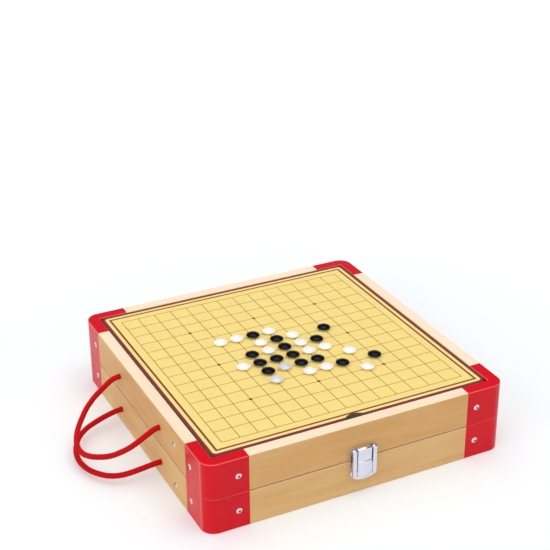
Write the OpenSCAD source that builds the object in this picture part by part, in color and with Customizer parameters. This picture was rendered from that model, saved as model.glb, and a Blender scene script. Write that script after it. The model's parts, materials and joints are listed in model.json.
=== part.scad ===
// Hinged wooden games box, 330 x 330 x 77 mm, standing closed on the floor.
// Origin: centre of the footprint on the floor. X runs right along the latch side, Y to the hinges, Z up.
// Five thin game boards lie in the recess of the lid; the tray under the lid holds the pieces.

/* [Box] */
// Outer length of each side, mm
side = 330; // [318:1:345]
// Height of the lower half, seam included, mm
half_h = 38.5; // [38:0.5:42]
// Wall thickness, mm
wall = 13; // [13:0.5:14]
// Length of each corner block's leg, mm
leg = 45; // [42:1:50]
// Radius of the corner blocks' outer edge, mm
corner_r = 14; // [13.5:0.5:16]
// Rounding of the rims' long edges, mm
rim_r = 1; // [0.6:0.1:1.4]
// Gap between the closed halves, mm
seam = 0.3; // [0.3:0.05:0.5]

/* [Panels and dividers] */
// Depth of the board recess below the rim, mm
recess = 10; // [10:0.5:11]
// Thickness of the bottom and of the recess panel, mm
panel_t = 3; // [2.5:0.5:3]
// Depth of the panels' grooves in the walls, mm
groove = 5; // [4:0.5:5]
// Height of the bottom panel over the floor, mm
bottom_z = 2; // [1.5:0.5:2.5]
// Distance of the long dividers from the front, mm
divider_y = 72.5; // [70:0.5:76]
// Thickness of the dividers, mm
divider_t = 5; // [4:0.5:6]

/* [Game boards] */
// Side of each board, mm
board = 302; // [296:1:302]
// Thickness of each board, mm
board_t = 1.8; // [1.5:0.1:1.8]
// Corner radius of the boards, mm
board_r = 7; // [3:0.5:12]
// Width of the finger notch in the boards' front edge, mm
notch_w = 24; // [18:1:34]
// Depth of the finger notch, mm
notch_d = 7; // [5:0.5:9]
// Spacing of the crossing lines on the top board, mm
cell = 19; // [17.5:0.1:19.3]
// Diameter of the lens-shaped stones, mm
stone_d = 15; // [13:0.5:16]
// Thickness of the stones, mm
stone_t = 5.6; // [4:0.2:7]

/* [Rope handles] */
// Rope diameter, mm
rope_d = 5.6; // [5:0.1:6]
// Clearance round the rope in its hole, mm
rope_gap = 0.5; // [0.3:0.1:0.8]
// Distance of the two rope holes of a handle, mm
rope_span = 110; // [110:1:110]

/* [Hardware] */
// Width of the latch, mm
latch_w = 26; // [25.5:0.5:27]
// Height of the latch's pivot in the base plate, mm
link_z = 34.5; // [34:0.25:35]
// Height of the latch lever's pivot, mm
lever_z = 49.6; // [49.2:0.2:50.4]
// Length of each back hinge, mm
hinge_l = 38; // [30:1:50]
// Distance of the back hinges from the middle, mm
hinge_x = 92; // [70:1:100]
// Diameter of the corner screws' heads, mm
screw_d = 6.5; // [5.5:0.25:7]

/* [Hidden] */
$fn = 48;
e = 0.05;
far = side / 2;
inner = far - wall;
height = 2 * half_h;
base_top = half_h - seam / 2;
lid_bottom = half_h + seam / 2;
panel_z = height - recess - panel_t;
recess_z = height - recess;
hinge_y = far + 3.1;
hinge_r = 2.7;
pin_r = 1.2;
run = 0.06;
tenon_l = 20;
tenon_t = 5;
screw_in = 34;
rope_z_low = 17.5;
rope_z_up = 57.5;
link_y = -far - 3.2;
lever_y = -far - 3.4;
front_y = -far - 5.8;
plate_t = 0.6;
lever_t = 0.9;
lp_r = 0.7;
floor_z = bottom_z + panel_t;
tray_top = base_top - 4;
div_y = -far + divider_y;
board_gap = 0.1;
plate_screw_x = 6.5;
plate_screw_z = link_z - 9;
catch_screw_x = 5.5;
catch_screw_z = lever_z - 5;
catch_head = 3.6;
rail_w = 4.1;
tongue_gap = 1.4;
flange_d = 2;
foot_z = 17.8;
foot_bend = foot_z + 4.2;
slot_foot = foot_z + 4.6;
foot_r = 26;
eye_r = 1.4;
hinge_leaf_h = 15;
hinge_screw_x = 12;
hinge_screw_z = 9.5;
pawn_pitch = 13.2;
die_w = 13;
disc_pitch = 23;
disc_stack = 8.85;

// Half of each handle's path, from the knot inside the wall to the tip; the other half mirrors it.
low_half = [
  [13, 55, 17.5],
  [5, 55, 17.5],
  [-3, 55, 17.5],
  [-11, 54.5, 16.5],
  [-21, 53.5, 14.5],
  [-32, 51.5, 12],
  [-42, 48, 10],
  [-51, 41.5, 8.5],
  [-58, 32.5, 7.5],
  [-63, 22, 6.5],
  [-66, 11, 6],
  [-67, 0, 5.8]
];
up_half = [
  [13, 55, 57.5],
  [5, 55, 57.5],
  [-3, 55, 57.5],
  [-10, 55.5, 55],
  [-20, 54.5, 48.5],
  [-30, 52.5, 42],
  [-40, 47.5, 35.5],
  [-48, 40.5, 30],
  [-55, 32, 26],
  [-61, 22, 22.5],
  [-65, 11, 20],
  [-66.5, 0, 19.5]
];

// Crossings that carry stones, counted from the front left corner of the grid.
white_at = [
  [4, 9], [5, 9], [7, 9], [6, 8], [8, 8], [8, 7], [6, 7], [8, 6],
  [9, 6], [4, 6], [6, 5], [5, 4], [7, 4], [8, 4], [10, 5], [10, 3]
];
black_at = [
  [6, 9], [7, 8], [5, 7], [5, 6], [5, 5], [6, 6], [7, 7],
  [7, 6], [7, 5], [8, 5], [9, 7], [10, 8], [9, 4], [11, 4]
];

// Section of a wall: t deep from y = 0 outwards, h high, with its four long edges rounded.
module rail_2d(t, h, r_low, r_top) {
  union() {
    translate([0, r_low]) square([t, h - r_low - r_top]);
    translate([r_low, 0]) square([t - 2 * r_low, r_low + 0.01]);
    translate([r_top, h - r_top - 0.01]) square([t - 2 * r_top, r_top + 0.01]);
    for (x = [r_low, t - r_low]) translate([x, r_low]) circle(r = r_low);
    for (x = [r_top, t - r_top]) translate([x, h - r_top]) circle(r = r_top);
  }
}

// The round edge is large at the free rim and small at the seam.
module half_2d(upper) {
  if (upper) rail_2d(wall, base_top, 0.35, rim_r);
  else rail_2d(wall, base_top, rim_r, 0.35);
}

// Space cut for the panel's tongue in every wall and block.
module panel_room(upper) {
  w = inner + groove;
  translate([-w, -w, upper ? panel_z : bottom_z]) cube([2 * w, 2 * w, panel_t]);
}

// One wall lying along the front, with a tenon at each end for the corner blocks.
module front_wall(upper) {
  z0 = upper ? lid_bottom : 0;
  len = side - 2 * leg;
  difference() {
    union() {
      translate([-len / 2, -far, z0]) rotate([90, 0, 90]) linear_extrude(len) half_2d(upper);
      translate([-len / 2 - tenon_l, -far + (wall - tenon_t) / 2, z0 + 8])
        cube([len + 2 * tenon_l, tenon_t, base_top - 16]);
    }
    panel_room(upper);
    for (s = [-1, 1]) translate([s * (far - screw_in), -far - 1, z0 + base_top / 2]) rotate([-90, 0, 0])
      cylinder(r = 1.5 + e, h = wall);
  }
}

// Corner block at the front left: two legs and a quarter turn of the same section.
module corner(upper) {
  z0 = upper ? lid_bottom : 0;
  difference() {
    union() {
      translate([-far + corner_r, -far + corner_r, z0]) rotate([0, 0, 180])
        rotate_extrude(angle = 90) translate([corner_r, 0]) mirror([1, 0]) half_2d(upper);
      translate([-far + corner_r, -far, z0]) rotate([90, 0, 90])
        linear_extrude(leg - corner_r) half_2d(upper);
      translate([-far + wall, -far + leg, z0]) rotate([90, 0, 0]) linear_extrude(leg - corner_r)
        mirror([1, 0]) half_2d(upper);
    }
    panel_room(upper);
    translate([-far + leg - tenon_l - 0.2, -far + (wall - tenon_t) / 2 - e, z0 + 8 - e])
      cube([tenon_l + 1, tenon_t + 2 * e, base_top - 16 + 2 * e]);
    translate([-far + (wall - tenon_t) / 2 - e, -far + leg - tenon_l - 0.2, z0 + 8 - e])
      cube([tenon_t + 2 * e, tenon_l + 1, base_top - 16 + 2 * e]);
    translate([-far + screw_in, -far - 1, z0 + base_top / 2]) rotate([-90, 0, 0])
      cylinder(r = 1.5 + e, h = 12.2);
    translate([-far - 1, -far + screw_in, z0 + base_top / 2]) rotate([0, 90, 0])
      cylinder(r = 1.5 + e, h = 12.2);
  }
}

// Left wall with the two holes of the rope handle.
module left_wall(upper) {
  difference() {
    rotate([0, 0, -90]) front_wall(upper);
    for (s = [-1, 1]) translate([-far - 1, s * rope_span / 2, upper ? rope_z_up : rope_z_low])
      rotate([0, 90, 0]) cylinder(r = rope_d / 2 + rope_gap, h = wall + 2);
    divider_hole(upper, -1);
  }
}

module divider_hole(upper, s) {
  translate([s * (inner - 20), div_y, upper ? height - 17 : 13]) rotate([0, s * 90, 0])
    cylinder(r = 1.7 + e, h = 40);
}

// Pilot holes of the latch's screws and of the back hinges' screws.
module latch_holes(x0, z) {
  for (x = [-x0, x0]) translate([x, -far - 1, z]) rotate([-90, 0, 0]) cylinder(r = 1.25, h = 11);
}
module hinge_holes(z) {
  for (c = [-hinge_x, hinge_x]) for (x = [-1, 1]) translate([c + x * hinge_screw_x, far + 1, z])
    rotate([90, 0, 0]) cylinder(r = 1.3 + e, h = 11.5);
}

module base_wall_front() {
  color("burlywood") difference() {
    front_wall(false);
    latch_holes(plate_screw_x, plate_screw_z);
  }
}
module base_wall_back() {
  color("burlywood") difference() {
    rotate([0, 0, 180]) front_wall(false);
    hinge_holes(half_h - hinge_screw_z);
  }
}
module base_wall_left() { color("burlywood") left_wall(false); }
module base_wall_right() {
  color("burlywood") difference() {
    rotate([0, 0, 90]) front_wall(false);
    divider_hole(false, 1);
  }
}
module lid_wall_front() {
  color("burlywood") difference() {
    front_wall(true);
    latch_holes(catch_screw_x, catch_screw_z);
  }
}
module lid_wall_back() {
  color("burlywood") difference() {
    rotate([0, 0, 180]) front_wall(true);
    hinge_holes(half_h + hinge_screw_z);
  }
}
module lid_wall_left() { color("burlywood") left_wall(true); }
module lid_wall_right() {
  color("burlywood") difference() {
    rotate([0, 0, 90]) front_wall(true);
    divider_hole(true, 1);
  }
}

module base_corner_fl() { color("crimson") corner(false); }
module base_corner_fr() { color("crimson") mirror([1, 0, 0]) corner(false); }
module base_corner_bl() { color("crimson") mirror([0, 1, 0]) corner(false); }
module base_corner_br() { color("crimson") rotate([0, 0, 180]) corner(false); }
module lid_corner_fl() { color("crimson") corner(true); }
module lid_corner_fr() { color("crimson") mirror([1, 0, 0]) corner(true); }
module lid_corner_bl() { color("crimson") mirror([0, 1, 0]) corner(true); }
module lid_corner_br() { color("crimson") rotate([0, 0, 180]) corner(true); }

// Panels sit in the grooves with their corners cut back clear of the blocks' round edges.
module panel(z) {
  w = inner + groove - 0.1;
  difference() {
    translate([-w, -w, z + e]) cube([2 * w, 2 * w, panel_t - 2 * e]);
    for (a = [0:90:270]) rotate([0, 0, a]) translate([w, w, z - 1]) rotate([0, 0, 45])
      cube([6, 6, 12], center = true);
  }
}
module base_bottom() { color("wheat") panel(bottom_z); }
module lid_panel() { color("tan") panel(panel_z); }

// Dividers: a board on edge between the side walls, and two short ones to the front.
module base_divider_long() {
  color("burlywood") difference() {
    translate([-inner, div_y - divider_t / 2, floor_z])
      rotate([90, 0, 90]) linear_extrude(2 * inner) rail_2d(divider_t, tray_top - floor_z, 0.3, 1);
    for (s = [-1, 1]) divider_hole(false, s);
    for (s = [-1, 1]) translate([s * 50 - divider_t / 2 - e, div_y - divider_t / 2 - 1, floor_z - 1])
      cube([divider_t + 2 * e, 3, tray_top]);
  }
}
module base_divider_cross() {
  y0 = -inner;
  y1 = div_y - divider_t / 2 + 2 - e;
  color("burlywood") for (s = [-1, 1]) translate([s * 50 + divider_t / 2, y0, floor_z])
    rotate([0, 0, 90]) rotate([90, 0, 90]) linear_extrude(y1 - y0)
      rail_2d(divider_t, tray_top - floor_z, 0.3, 1);
}
module lid_divider() {
  color("burlywood") difference() {
    translate([-inner, div_y - divider_t / 2, lid_bottom + 4]) rotate([90, 0, 90])
      linear_extrude(2 * inner) rail_2d(divider_t, panel_z - lid_bottom - 4, 1, 0.3);
    for (s = [-1, 1]) divider_hole(true, s);
  }
}

// Screw with a domed head and a cross recess; the head's flat face is at z = 0, the shank below it.
module screw(d, l, shank) {
  r = d / 2;
  dome = 1.3;
  ball = (r * r + dome * dome) / (2 * dome);
  difference() {
    union() {
      rotate_extrude() intersection() {
        translate([0, dome - ball]) circle(r = ball, $fn = 96);
        square([r - 0.15, dome + 1]);
      }
      translate([0, 0, -l]) cylinder(r = shank, h = l + 0.1);
      translate([0, 0, -l - 1.2]) cylinder(r1 = 0.3, r2 = shank, h = 1.2);
    }
    for (a = [0, 90]) rotate([0, 0, a]) translate([-r * 0.42, -0.4, dome - 0.9]) cube([r * 0.84, 0.8, 2]);
  }
}
// Countersunk screw whose head fills its seat and stands a little proud.
module flat_screw(d, l, shank) {
  difference() {
    union() {
      cylinder(r = d / 2, h = 0.35);
      translate([0, 0, -d / 2 + shank]) cylinder(r1 = shank, r2 = d / 2, h = d / 2 - shank);
      translate([0, 0, -l]) cylinder(r = shank, h = l);
    }
    for (a = [0, 90]) rotate([0, 0, a + 20]) translate([-d * 0.24, -0.22, -0.25]) cube([d * 0.48, 0.44, 2]);
  }
}
module corner_screws(z0) {
  z = z0 + base_top / 2;
  for (a = [0:90:270]) rotate([0, 0, a]) {
    translate([-far + screw_in, -far, z]) rotate([90, 25, 0]) screw(screw_d, 9.5, 1.5);
    translate([far - screw_in, -far, z]) rotate([90, 50, 0]) screw(screw_d, 9.5, 1.5);
  }
}
module base_corner_screws() { color("silver") corner_screws(0); }
module lid_corner_screws() { color("silver") corner_screws(lid_bottom); }
module divider_screws(z) {
  for (s = [-1, 1]) translate([s * far, div_y, z]) rotate([0, s * 90, 0]) rotate([0, 0, 30])
    screw(screw_d + 0.5, wall + 14, 1.7);
}
module base_divider_screws() { color("silver") divider_screws(13); }
module lid_divider_screws() { color("silver") divider_screws(height - 17); }

// Rope swept round rings, one per path point, each square to the path there.
function unit(v) = v / norm(v);
function dirs(p) = [for (i = [0:len(p) - 1])
  i == 0 ? unit(p[1] - p[0]) : i == len(p) - 1 ? unit(p[i] - p[i - 1]) : unit(p[i + 1] - p[i - 1])];
function carry(d, i, u) = i == 0 ? [u] :
  let (past = carry(d, i - 1, u), last = past[len(past) - 1])
  concat(past, [unit(last - (last * d[i]) * d[i])]);
module tube(p, r, n) {
  d = dirs(p);
  us = carry(d, len(p) - 1, [0, 0, 1]);
  pts = [for (i = [0:len(p) - 1]) let (u = us[i], v = cross(d[i], u)) for (k = [0:n - 1])
    p[i] + r * (cos(360 * k / n) * u + sin(360 * k / n) * v)];
  sides = [for (i = [0:len(p) - 2]) for (k = [0:n - 1]) let (a = i * n + k, b = i * n + (k + 1) % n)
    [a, a + n, b + n, b]];
  polyhedron(points = pts, faces = concat([[for (k = [0:n - 1]) k]], sides,
    [[for (k = [n - 1:-1:0]) (len(p) - 1) * n + k]]), convexity = 6);
}
function whole(half) = concat([for (q = half) [q[0] - far, q[1], q[2]]],
  [for (i = [len(half) - 2:-1:0]) [half[i][0] - far, -half[i][1], half[i][2]]]);
module rope_lower() { color("firebrick") tube(whole(low_half), rope_d / 2, 12); }
module rope_upper() { color("firebrick") tube(whole(up_half), rope_d / 2, 12); }

// Stopper knot against the inner face of the wall: two crossed turns of rope and a short tail.
module knot() {
  q = rope_d / 2 - 0.45;
  ring = q + 0.15;
  intersection() {
    union() {
      translate([q + 0.4, 0, 0]) rotate([0, 90, 24]) rotate_extrude() translate([ring, 0]) circle(r = q);
      translate([q + 2.6, 0, 0]) rotate([0, 90, -26]) rotate_extrude() translate([ring, 0]) circle(r = q);
      rotate([0, 90, 0]) cylinder(r = rope_d / 2, h = 3);
      translate([3, 1, 0.5]) rotate([0, 96, 0]) cylinder(r = q - 0.1, h = 9);
    }
    translate([0, -10, -10]) cube([20, 20, 20]);
  }
}
module knots(z) {
  for (s = [-1, 1]) translate([-inner, s * rope_span / 2, z]) mirror([0, s < 0 ? 1 : 0, 0]) knot();
}
module rope_lower_knots() { color("firebrick") knots(rope_z_low); }
module rope_upper_knots() { color("firebrick") knots(rope_z_up); }

// Latch: a plate with two ears on the base, a link on the ears' pin, a lever on the link's pin.
module outline(w, z0, z1, r0, r1) {
  union() {
    translate([-w / 2, z0 + r0]) square([w, z1 - z0 - r0 - r1]);
    for (s = [-1, 1]) translate([s * (w / 2 - r0), z0 + r0]) circle(r = r0);
    for (s = [-1, 1]) translate([s * (w / 2 - r1), z1 - r1]) circle(r = r1);
    translate([-w / 2 + r0, z0]) square([w - 2 * r0, r0 + 0.01]);
    translate([-w / 2 + r1, z1 - r1 - 0.01]) square([w - 2 * r1, r1 + 0.01]);
  }
}
module on_front(y, t) { translate([0, y, 0]) rotate([90, 0, 0]) linear_extrude(t) children(); }
module along_x(x0, x1) { translate([x0, 0, 0]) rotate([90, 0, 90]) linear_extrude(x1 - x0) children(); }
ear_x = latch_w / 2 - 2.4;
arm_x = ear_x - 1.3;

module latch_plate() {
  color("lightsteelblue") difference() {
    union() {
      on_front(-far, plate_t) outline(latch_w, link_z - 14.5, base_top - 0.6, 2.5, 0.6);
      for (s = [-1, 1]) along_x(s > 0 ? ear_x : -ear_x - 1, s > 0 ? ear_x + 1 : -ear_x) union() {
        translate([link_y, link_z]) circle(r = eye_r);
        translate([link_y, link_z - eye_r]) square([-far - link_y, 2 * eye_r]);
      }
    }
    along_x(-20, 20) translate([link_y, link_z]) circle(r = lp_r + e);
    for (x = [-1, 1]) translate([x * plate_screw_x, -far + 1, plate_screw_z]) rotate([90, 0, 0])
      cylinder(r = 1.1 + e, h = 3);
    on_front(-far + 1, 3) outline(8, link_z - 4.5, link_z - 1.5, 1.4, 1.4);
  }
}
module latch_plate_screws() {
  color("silver") for (x = [-1, 1]) translate([x * plate_screw_x, -far - plate_t, plate_screw_z])
    rotate([90, 0, 0]) screw(4.4, 8, 1.1);
}
module latch_pin_low() {
  color("silver") along_x(-ear_x - 1.3, ear_x + 1.3) translate([link_y, link_z]) circle(r = lp_r);
}

// Link: two arms with eyes at both ends, joined by a cross plate behind the lever.
module latch_link() {
  color("lightsteelblue") difference() {
    union() {
      for (s = [-1, 1]) along_x(s > 0 ? arm_x : -arm_x - 0.9, s > 0 ? arm_x + 0.9 : -arm_x) union() {
        translate([link_y, link_z]) circle(r = eye_r);
        translate([lever_y, lever_z]) circle(r = eye_r);
        polygon([
          [link_y - 1.3, link_z], [link_y + 1.3, link_z], [lever_y + 1.3, lever_z], [lever_y - 1.3, lever_z]
        ]);
      }
      along_x(-arm_x - 0.5, arm_x + 0.5) translate([link_y + 0.5, link_z + 4]) square([0.8, 7]);
    }
    along_x(-20, 20) translate([link_y, link_z]) circle(r = lp_r + run);
    along_x(-20, 20) translate([lever_y, lever_z]) circle(r = lp_r + e);
  }
}
module latch_pin_top() {
  l = latch_w / 2 - 0.3;
  color("silver") along_x(-l, l) translate([lever_y, lever_z]) circle(r = lp_r);
}

// Lever: two flanged rails with rolled eyes, a middle tongue with a stepped crease and a hooked lip.
module rail_side_2d() {
  union() {
    polygon([
      [front_y, foot_bend], [front_y, lever_z], [front_y + lever_t, lever_z], [front_y + lever_t, foot_bend],
      [front_y + lever_t - 0.3, foot_z], [front_y - 0.3, foot_z]
    ]);
    translate([lever_y, lever_z]) circle(r = lever_y - front_y);
  }
}
module flange_2d() {
  polygon([
    [front_y, foot_bend - 1], [front_y, lever_z],
    [front_y + flange_d, lever_z], [front_y + flange_d, foot_bend + 1]
  ]);
}

// Room for the link's eye and for its arm, which swings out of the rail's back to just above level.
module arm_room_2d() {
  r = eye_r + 0.2;
  rise = 20;
  reach = 8;
  translate([lever_y, lever_z]) union() {
    circle(r = r);
    polygon([
      [-r + 0.1, 0], [-r + 0.1, -reach], [reach, -reach],
      [reach * cos(rise) - r * sin(rise), reach * sin(rise) + r * cos(rise)], [-r * sin(rise), r * cos(rise)]
    ]);
  }
}
module tongue_2d() {
  top = lever_z + 1.3;
  rise = 0.5;
  back = -far - 1.2;
  y1 = front_y + 0.75;
  crease = link_z + 2.6;
  union() {
    polygon([
      [front_y - 0.3, foot_z], [front_y, foot_bend], [y1 - 0.45, crease], [y1, crease + 0.3],
      [front_y + 0.15, top - 0.2], [front_y + 0.15, top + lever_t - 0.4], [front_y + 0.55, top + lever_t],
      [back, top + lever_t + rise], [back, top + rise], [front_y + 1.05, top],
      [y1 + lever_t, crease], [front_y + lever_t, foot_bend], [front_y + lever_t - 0.3, foot_z]
    ]);
    translate([back, top + rise + lever_t / 2]) circle(r = lever_t / 2);
  }
}

// Front view of the lever: its foot is one wide arc with round corners.
module lever_front_2d() {
  intersection() {
    translate([0, foot_z + foot_r]) circle(r = foot_r, $fn = 200);
    union() {
      outline(latch_w, foot_z + 2.2, foot_z + 44, 3, 0.4);
      translate([-latch_w / 2 + 1.5, foot_z - 1]) square([latch_w - 3, 8]);
    }
  }
}
module latch_lever() {
  w = latch_w / 2;
  rail_x = w - rail_w;
  slot = rail_x - tongue_gap;
  room_x = arm_x + 1.2;
  color("lightsteelblue") intersection() {
    union() {
      difference() {
        union() {
          along_x(-w, -rail_x) rail_side_2d();
          along_x(rail_x, w) rail_side_2d();
          along_x(-w, -w + lever_t) flange_2d();
          along_x(w - lever_t, w) flange_2d();
        }
        along_x(-20, 20) translate([lever_y, lever_z]) circle(r = lp_r + run);
        along_x(-room_x, room_x) arm_room_2d();
      }
      along_x(-slot, slot) tongue_2d();
      along_x(-w, w) intersection() {
        rail_side_2d();
        translate([-far - 10, foot_z - 1]) square([20, slot_foot - foot_z + 1]);
      }
    }
    on_front(-far, 12) lever_front_2d();
  }
}

// Catch on the lid: a plate with a shelf that the lever's lip holds down.
module latch_catch() {
  color("lightsteelblue") difference() {
    union() {
      on_front(-far, plate_t) outline(latch_w, lid_bottom + 0.6, lever_z + 2.4, 0.6, 2);
      along_x(-8, 8) translate([-far - 2.4, lever_z - 0.2]) square([2.4, 1]);
    }
    for (x = [-1, 1]) translate([x * catch_screw_x, -far - plate_t - e, catch_screw_z]) rotate([-90, 0, 0])
      cylinder(r1 = catch_head / 2 + 2 * e, r2 = catch_head / 2 - plate_t, h = plate_t + 2 * e);
  }
}
module latch_catch_screws() {
  color("silver") for (x = [-1, 1]) translate([x * catch_screw_x, -far - plate_t, catch_screw_z])
    rotate([90, 0, 0]) flat_screw(catch_head, 8, 1.1);
}

// Back hinges: three knuckles on the base leaf, two on the lid leaf.
knuckle = hinge_l / 5;
module leaf(up) {
  mine = up ? [1, 3] : [0, 2, 4];
  w = hinge_l / 2;
  knuckle_room = hinge_r + 0.35;
  difference() {
    union() {
      along_x(-w, w) translate([far, up ? half_h + knuckle_room : half_h - hinge_leaf_h])
        square([1, hinge_leaf_h - knuckle_room]);
      for (i = mine) along_x(-w + i * knuckle + 0.1, -w + (i + 1) * knuckle - 0.1) union() {
        translate([hinge_y, half_h]) circle(r = hinge_r);
        translate([far + 0.3, up ? half_h : half_h - 5]) square([0.7, 5]);
      }
    }
    along_x(-w - 1, w + 1) translate([hinge_y, half_h]) circle(r = pin_r + (up ? run : e));
    for (x = [-1, 1]) translate([x * hinge_screw_x, far - 1, half_h + (up ? hinge_screw_z : -hinge_screw_z)])
      rotate([-90, 0, 0]) cylinder(r = 1.3 + e, h = 4);
  }
}
module hinge_pin() {
  l = hinge_l / 2 + 0.6;
  along_x(-l, l) translate([hinge_y, half_h]) circle(r = pin_r);
}
module hinge_screws(z) {
  for (c = [-hinge_x, hinge_x]) for (x = [-1, 1]) translate([c + x * hinge_screw_x, far + 1, z])
    rotate([-90, 0, 0]) screw(4.6, 9, 1.3);
}
module hinge_left_base_leaf() { color("silver") translate([-hinge_x, 0, 0]) leaf(false); }
module hinge_right_base_leaf() { color("silver") translate([hinge_x, 0, 0]) leaf(false); }
module hinge_left_lid_leaf() { color("silver") translate([-hinge_x, 0, 0]) leaf(true); }
module hinge_right_lid_leaf() { color("silver") translate([hinge_x, 0, 0]) leaf(true); }
module hinge_left_pin() { color("gray") translate([-hinge_x, 0, 0]) hinge_pin(); }
module hinge_right_pin() { color("gray") translate([hinge_x, 0, 0]) hinge_pin(); }
module hinge_screws_base() { color("silver") hinge_screws(half_h - hinge_screw_z); }
module hinge_screws_lid() { color("silver") hinge_screws(half_h + hinge_screw_z); }

// Thin board with round corners and a finger notch in the middle of its front edge.
module board_2d() {
  h = board / 2;
  c = h - board_r;
  nr = (notch_w * notch_w / 4 + notch_d * notch_d) / (2 * notch_d);
  difference() {
    union() {
      square([board - 2 * board_r, board], center = true);
      square([board, board - 2 * board_r], center = true);
      for (x = [-c, c]) for (y = [-c, c]) translate([x, y]) circle(r = board_r);
    }
    translate([0, -h - nr + notch_d]) circle(r = nr, $fn = 96);
  }
}
function board_z(i) = recess_z + board_gap + i * (board_t + board_gap);
module game_board(i) { translate([0, 0, board_z(i)]) linear_extrude(board_t) board_2d(); }
module board_space() { color("midnightblue") game_board(0); }
module board_ladders() { color("mediumpurple") game_board(1); }
module board_ludo() { color("mediumaquamarine") game_board(2); }
module board_star() { color("gold") game_board(3); }
module board_grid() { color("khaki") game_board(4); }

// Lens-shaped stone standing on a small flat.
module stone() {
  r = stone_d / 2;
  h = stone_t / 2;
  ball = (r * r + h * h) / (2 * h);
  flat = 0.12;
  translate([0, 0, h - flat]) rotate_extrude() intersection() {
    translate([0, ball - h]) circle(r = ball, $fn = 128);
    translate([0, h - ball]) circle(r = ball, $fn = 128);
    translate([0, -h + flat]) square([r - 0.35, 2 * h]);
  }
}
module stones(at) {
  for (q = at) translate([(q[0] - 7) * cell, (q[1] - 7) * cell, board_z(4) + board_t]) stone();
}
module stones_white() { color("white") stones(white_at); }
module stones_black() { color("dimgray") stones(black_at); }

// Pieces kept in the front pockets: sixteen pawns, two dice and two sets of plain discs.
module pawn() {
  rotate_extrude() union() {
    polygon([[0, 0], [5.5, 0], [5.5, 1.6], [4.9, 2.6], [3.2, 6], [2.2, 11], [1.9, 15], [0, 15]]);
    translate([0, 17.6]) intersection() {
      circle(r = 3.9);
      translate([0, -5]) square([5, 10]);
    }
  }
}
module pawns(row) {
  for (i = [0:3]) translate([-142 + i * pawn_pitch, -143.5 + row * pawn_pitch, floor_z]) pawn();
}
module pawns_red() { color("red") pawns(0); }
module pawns_blue() { color("royalblue") pawns(1); }
module pawns_green() { color("green") pawns(2); }
module pawns_yellow() { color("gold") pawns(3); }

function pips(n) = n == 1 ? [[0, 0]] : n == 2 ? [[-1, -1], [1, 1]] : n == 3 ? [[-1, -1], [0, 0], [1, 1]] :
  n == 4 ? [[-1, -1], [1, 1], [-1, 1], [1, -1]] : n == 5 ? [[-1, -1], [1, 1], [-1, 1], [1, -1], [0, 0]] :
  [[-1, -1], [-1, 0], [-1, 1], [1, -1], [1, 0], [1, 1]];
module die(w) {
  difference() {
    intersection() {
      cube(w, center = true);
      sphere(r = w * 0.78, $fn = 64);
    }
    for (f = [[1, 0, 0], [6, 180, 0], [2, 90, 0], [5, -90, 0], [3, 90, 90], [4, -90, 90]])
      rotate([0, 0, f[2]]) rotate([f[1], 0, 0]) for (p = pips(f[0]))
        translate([p[0] * w / 4, p[1] * w / 4, w / 2 + 0.7]) sphere(r = 1.3, $fn = 24);
  }
}
module dice() {
  color("ivory") for (q = [[-76, -138, 10], [-66, -116, 35]])
    translate([q[0], q[1], floor_z + die_w / 2]) rotate([0, 0, q[2]]) die(die_w);
}

// Disc with rounded rims, a raised ring on its face and a seat for the next one.
module disc() {
  rotate_extrude() difference() {
    union() {
      translate([0, 0.9]) square([11.2, 7]);
      square([10.3, 8.8]);
      for (z = [0.9, 7.9]) translate([10.3, z]) circle(r = 0.9);
    }
    translate([7.6, 8.3]) square([0.9, 2]);
  }
}
module discs(x0) {
  for (i = [0:3]) for (j = [0:1]) for (k = [0:1])
    translate([x0 + (i - 1.5) * disc_pitch, -137.5 + j * 25, floor_z + k * disc_stack]) disc();
}
module discs_dark() { color("sienna") discs(0); }
module discs_red() { color("peru") discs(102); }

base_wall_front();
base_wall_back();
base_wall_left();
base_wall_right();
base_corner_fl();
base_corner_fr();
base_corner_bl();
base_corner_br();
base_bottom();
base_divider_long();
base_divider_cross();
base_corner_screws();
base_divider_screws();
rope_lower();
rope_lower_knots();
latch_plate();
latch_plate_screws();
latch_pin_low();
hinge_left_base_leaf();
hinge_right_base_leaf();
hinge_left_pin();
hinge_right_pin();
hinge_screws_base();
pawns_red();
pawns_blue();
pawns_green();
pawns_yellow();
dice();
discs_dark();
discs_red();
lid_wall_front();
lid_wall_back();
lid_wall_left();
lid_wall_right();
lid_corner_fl();
lid_corner_fr();
lid_corner_bl();
lid_corner_br();
lid_panel();
lid_divider();
lid_corner_screws();
lid_divider_screws();
rope_upper();
rope_upper_knots();
latch_catch();
latch_catch_screws();
hinge_left_lid_leaf();
hinge_right_lid_leaf();
hinge_screws_lid();
latch_link();
latch_pin_top();
latch_lever();
board_space();
board_ladders();
board_ludo();
board_star();
board_grid();
stones_white();
stones_black();
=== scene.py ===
import json
import math
import random

import bmesh
import bpy
from mathutils import Matrix, Vector

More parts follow.
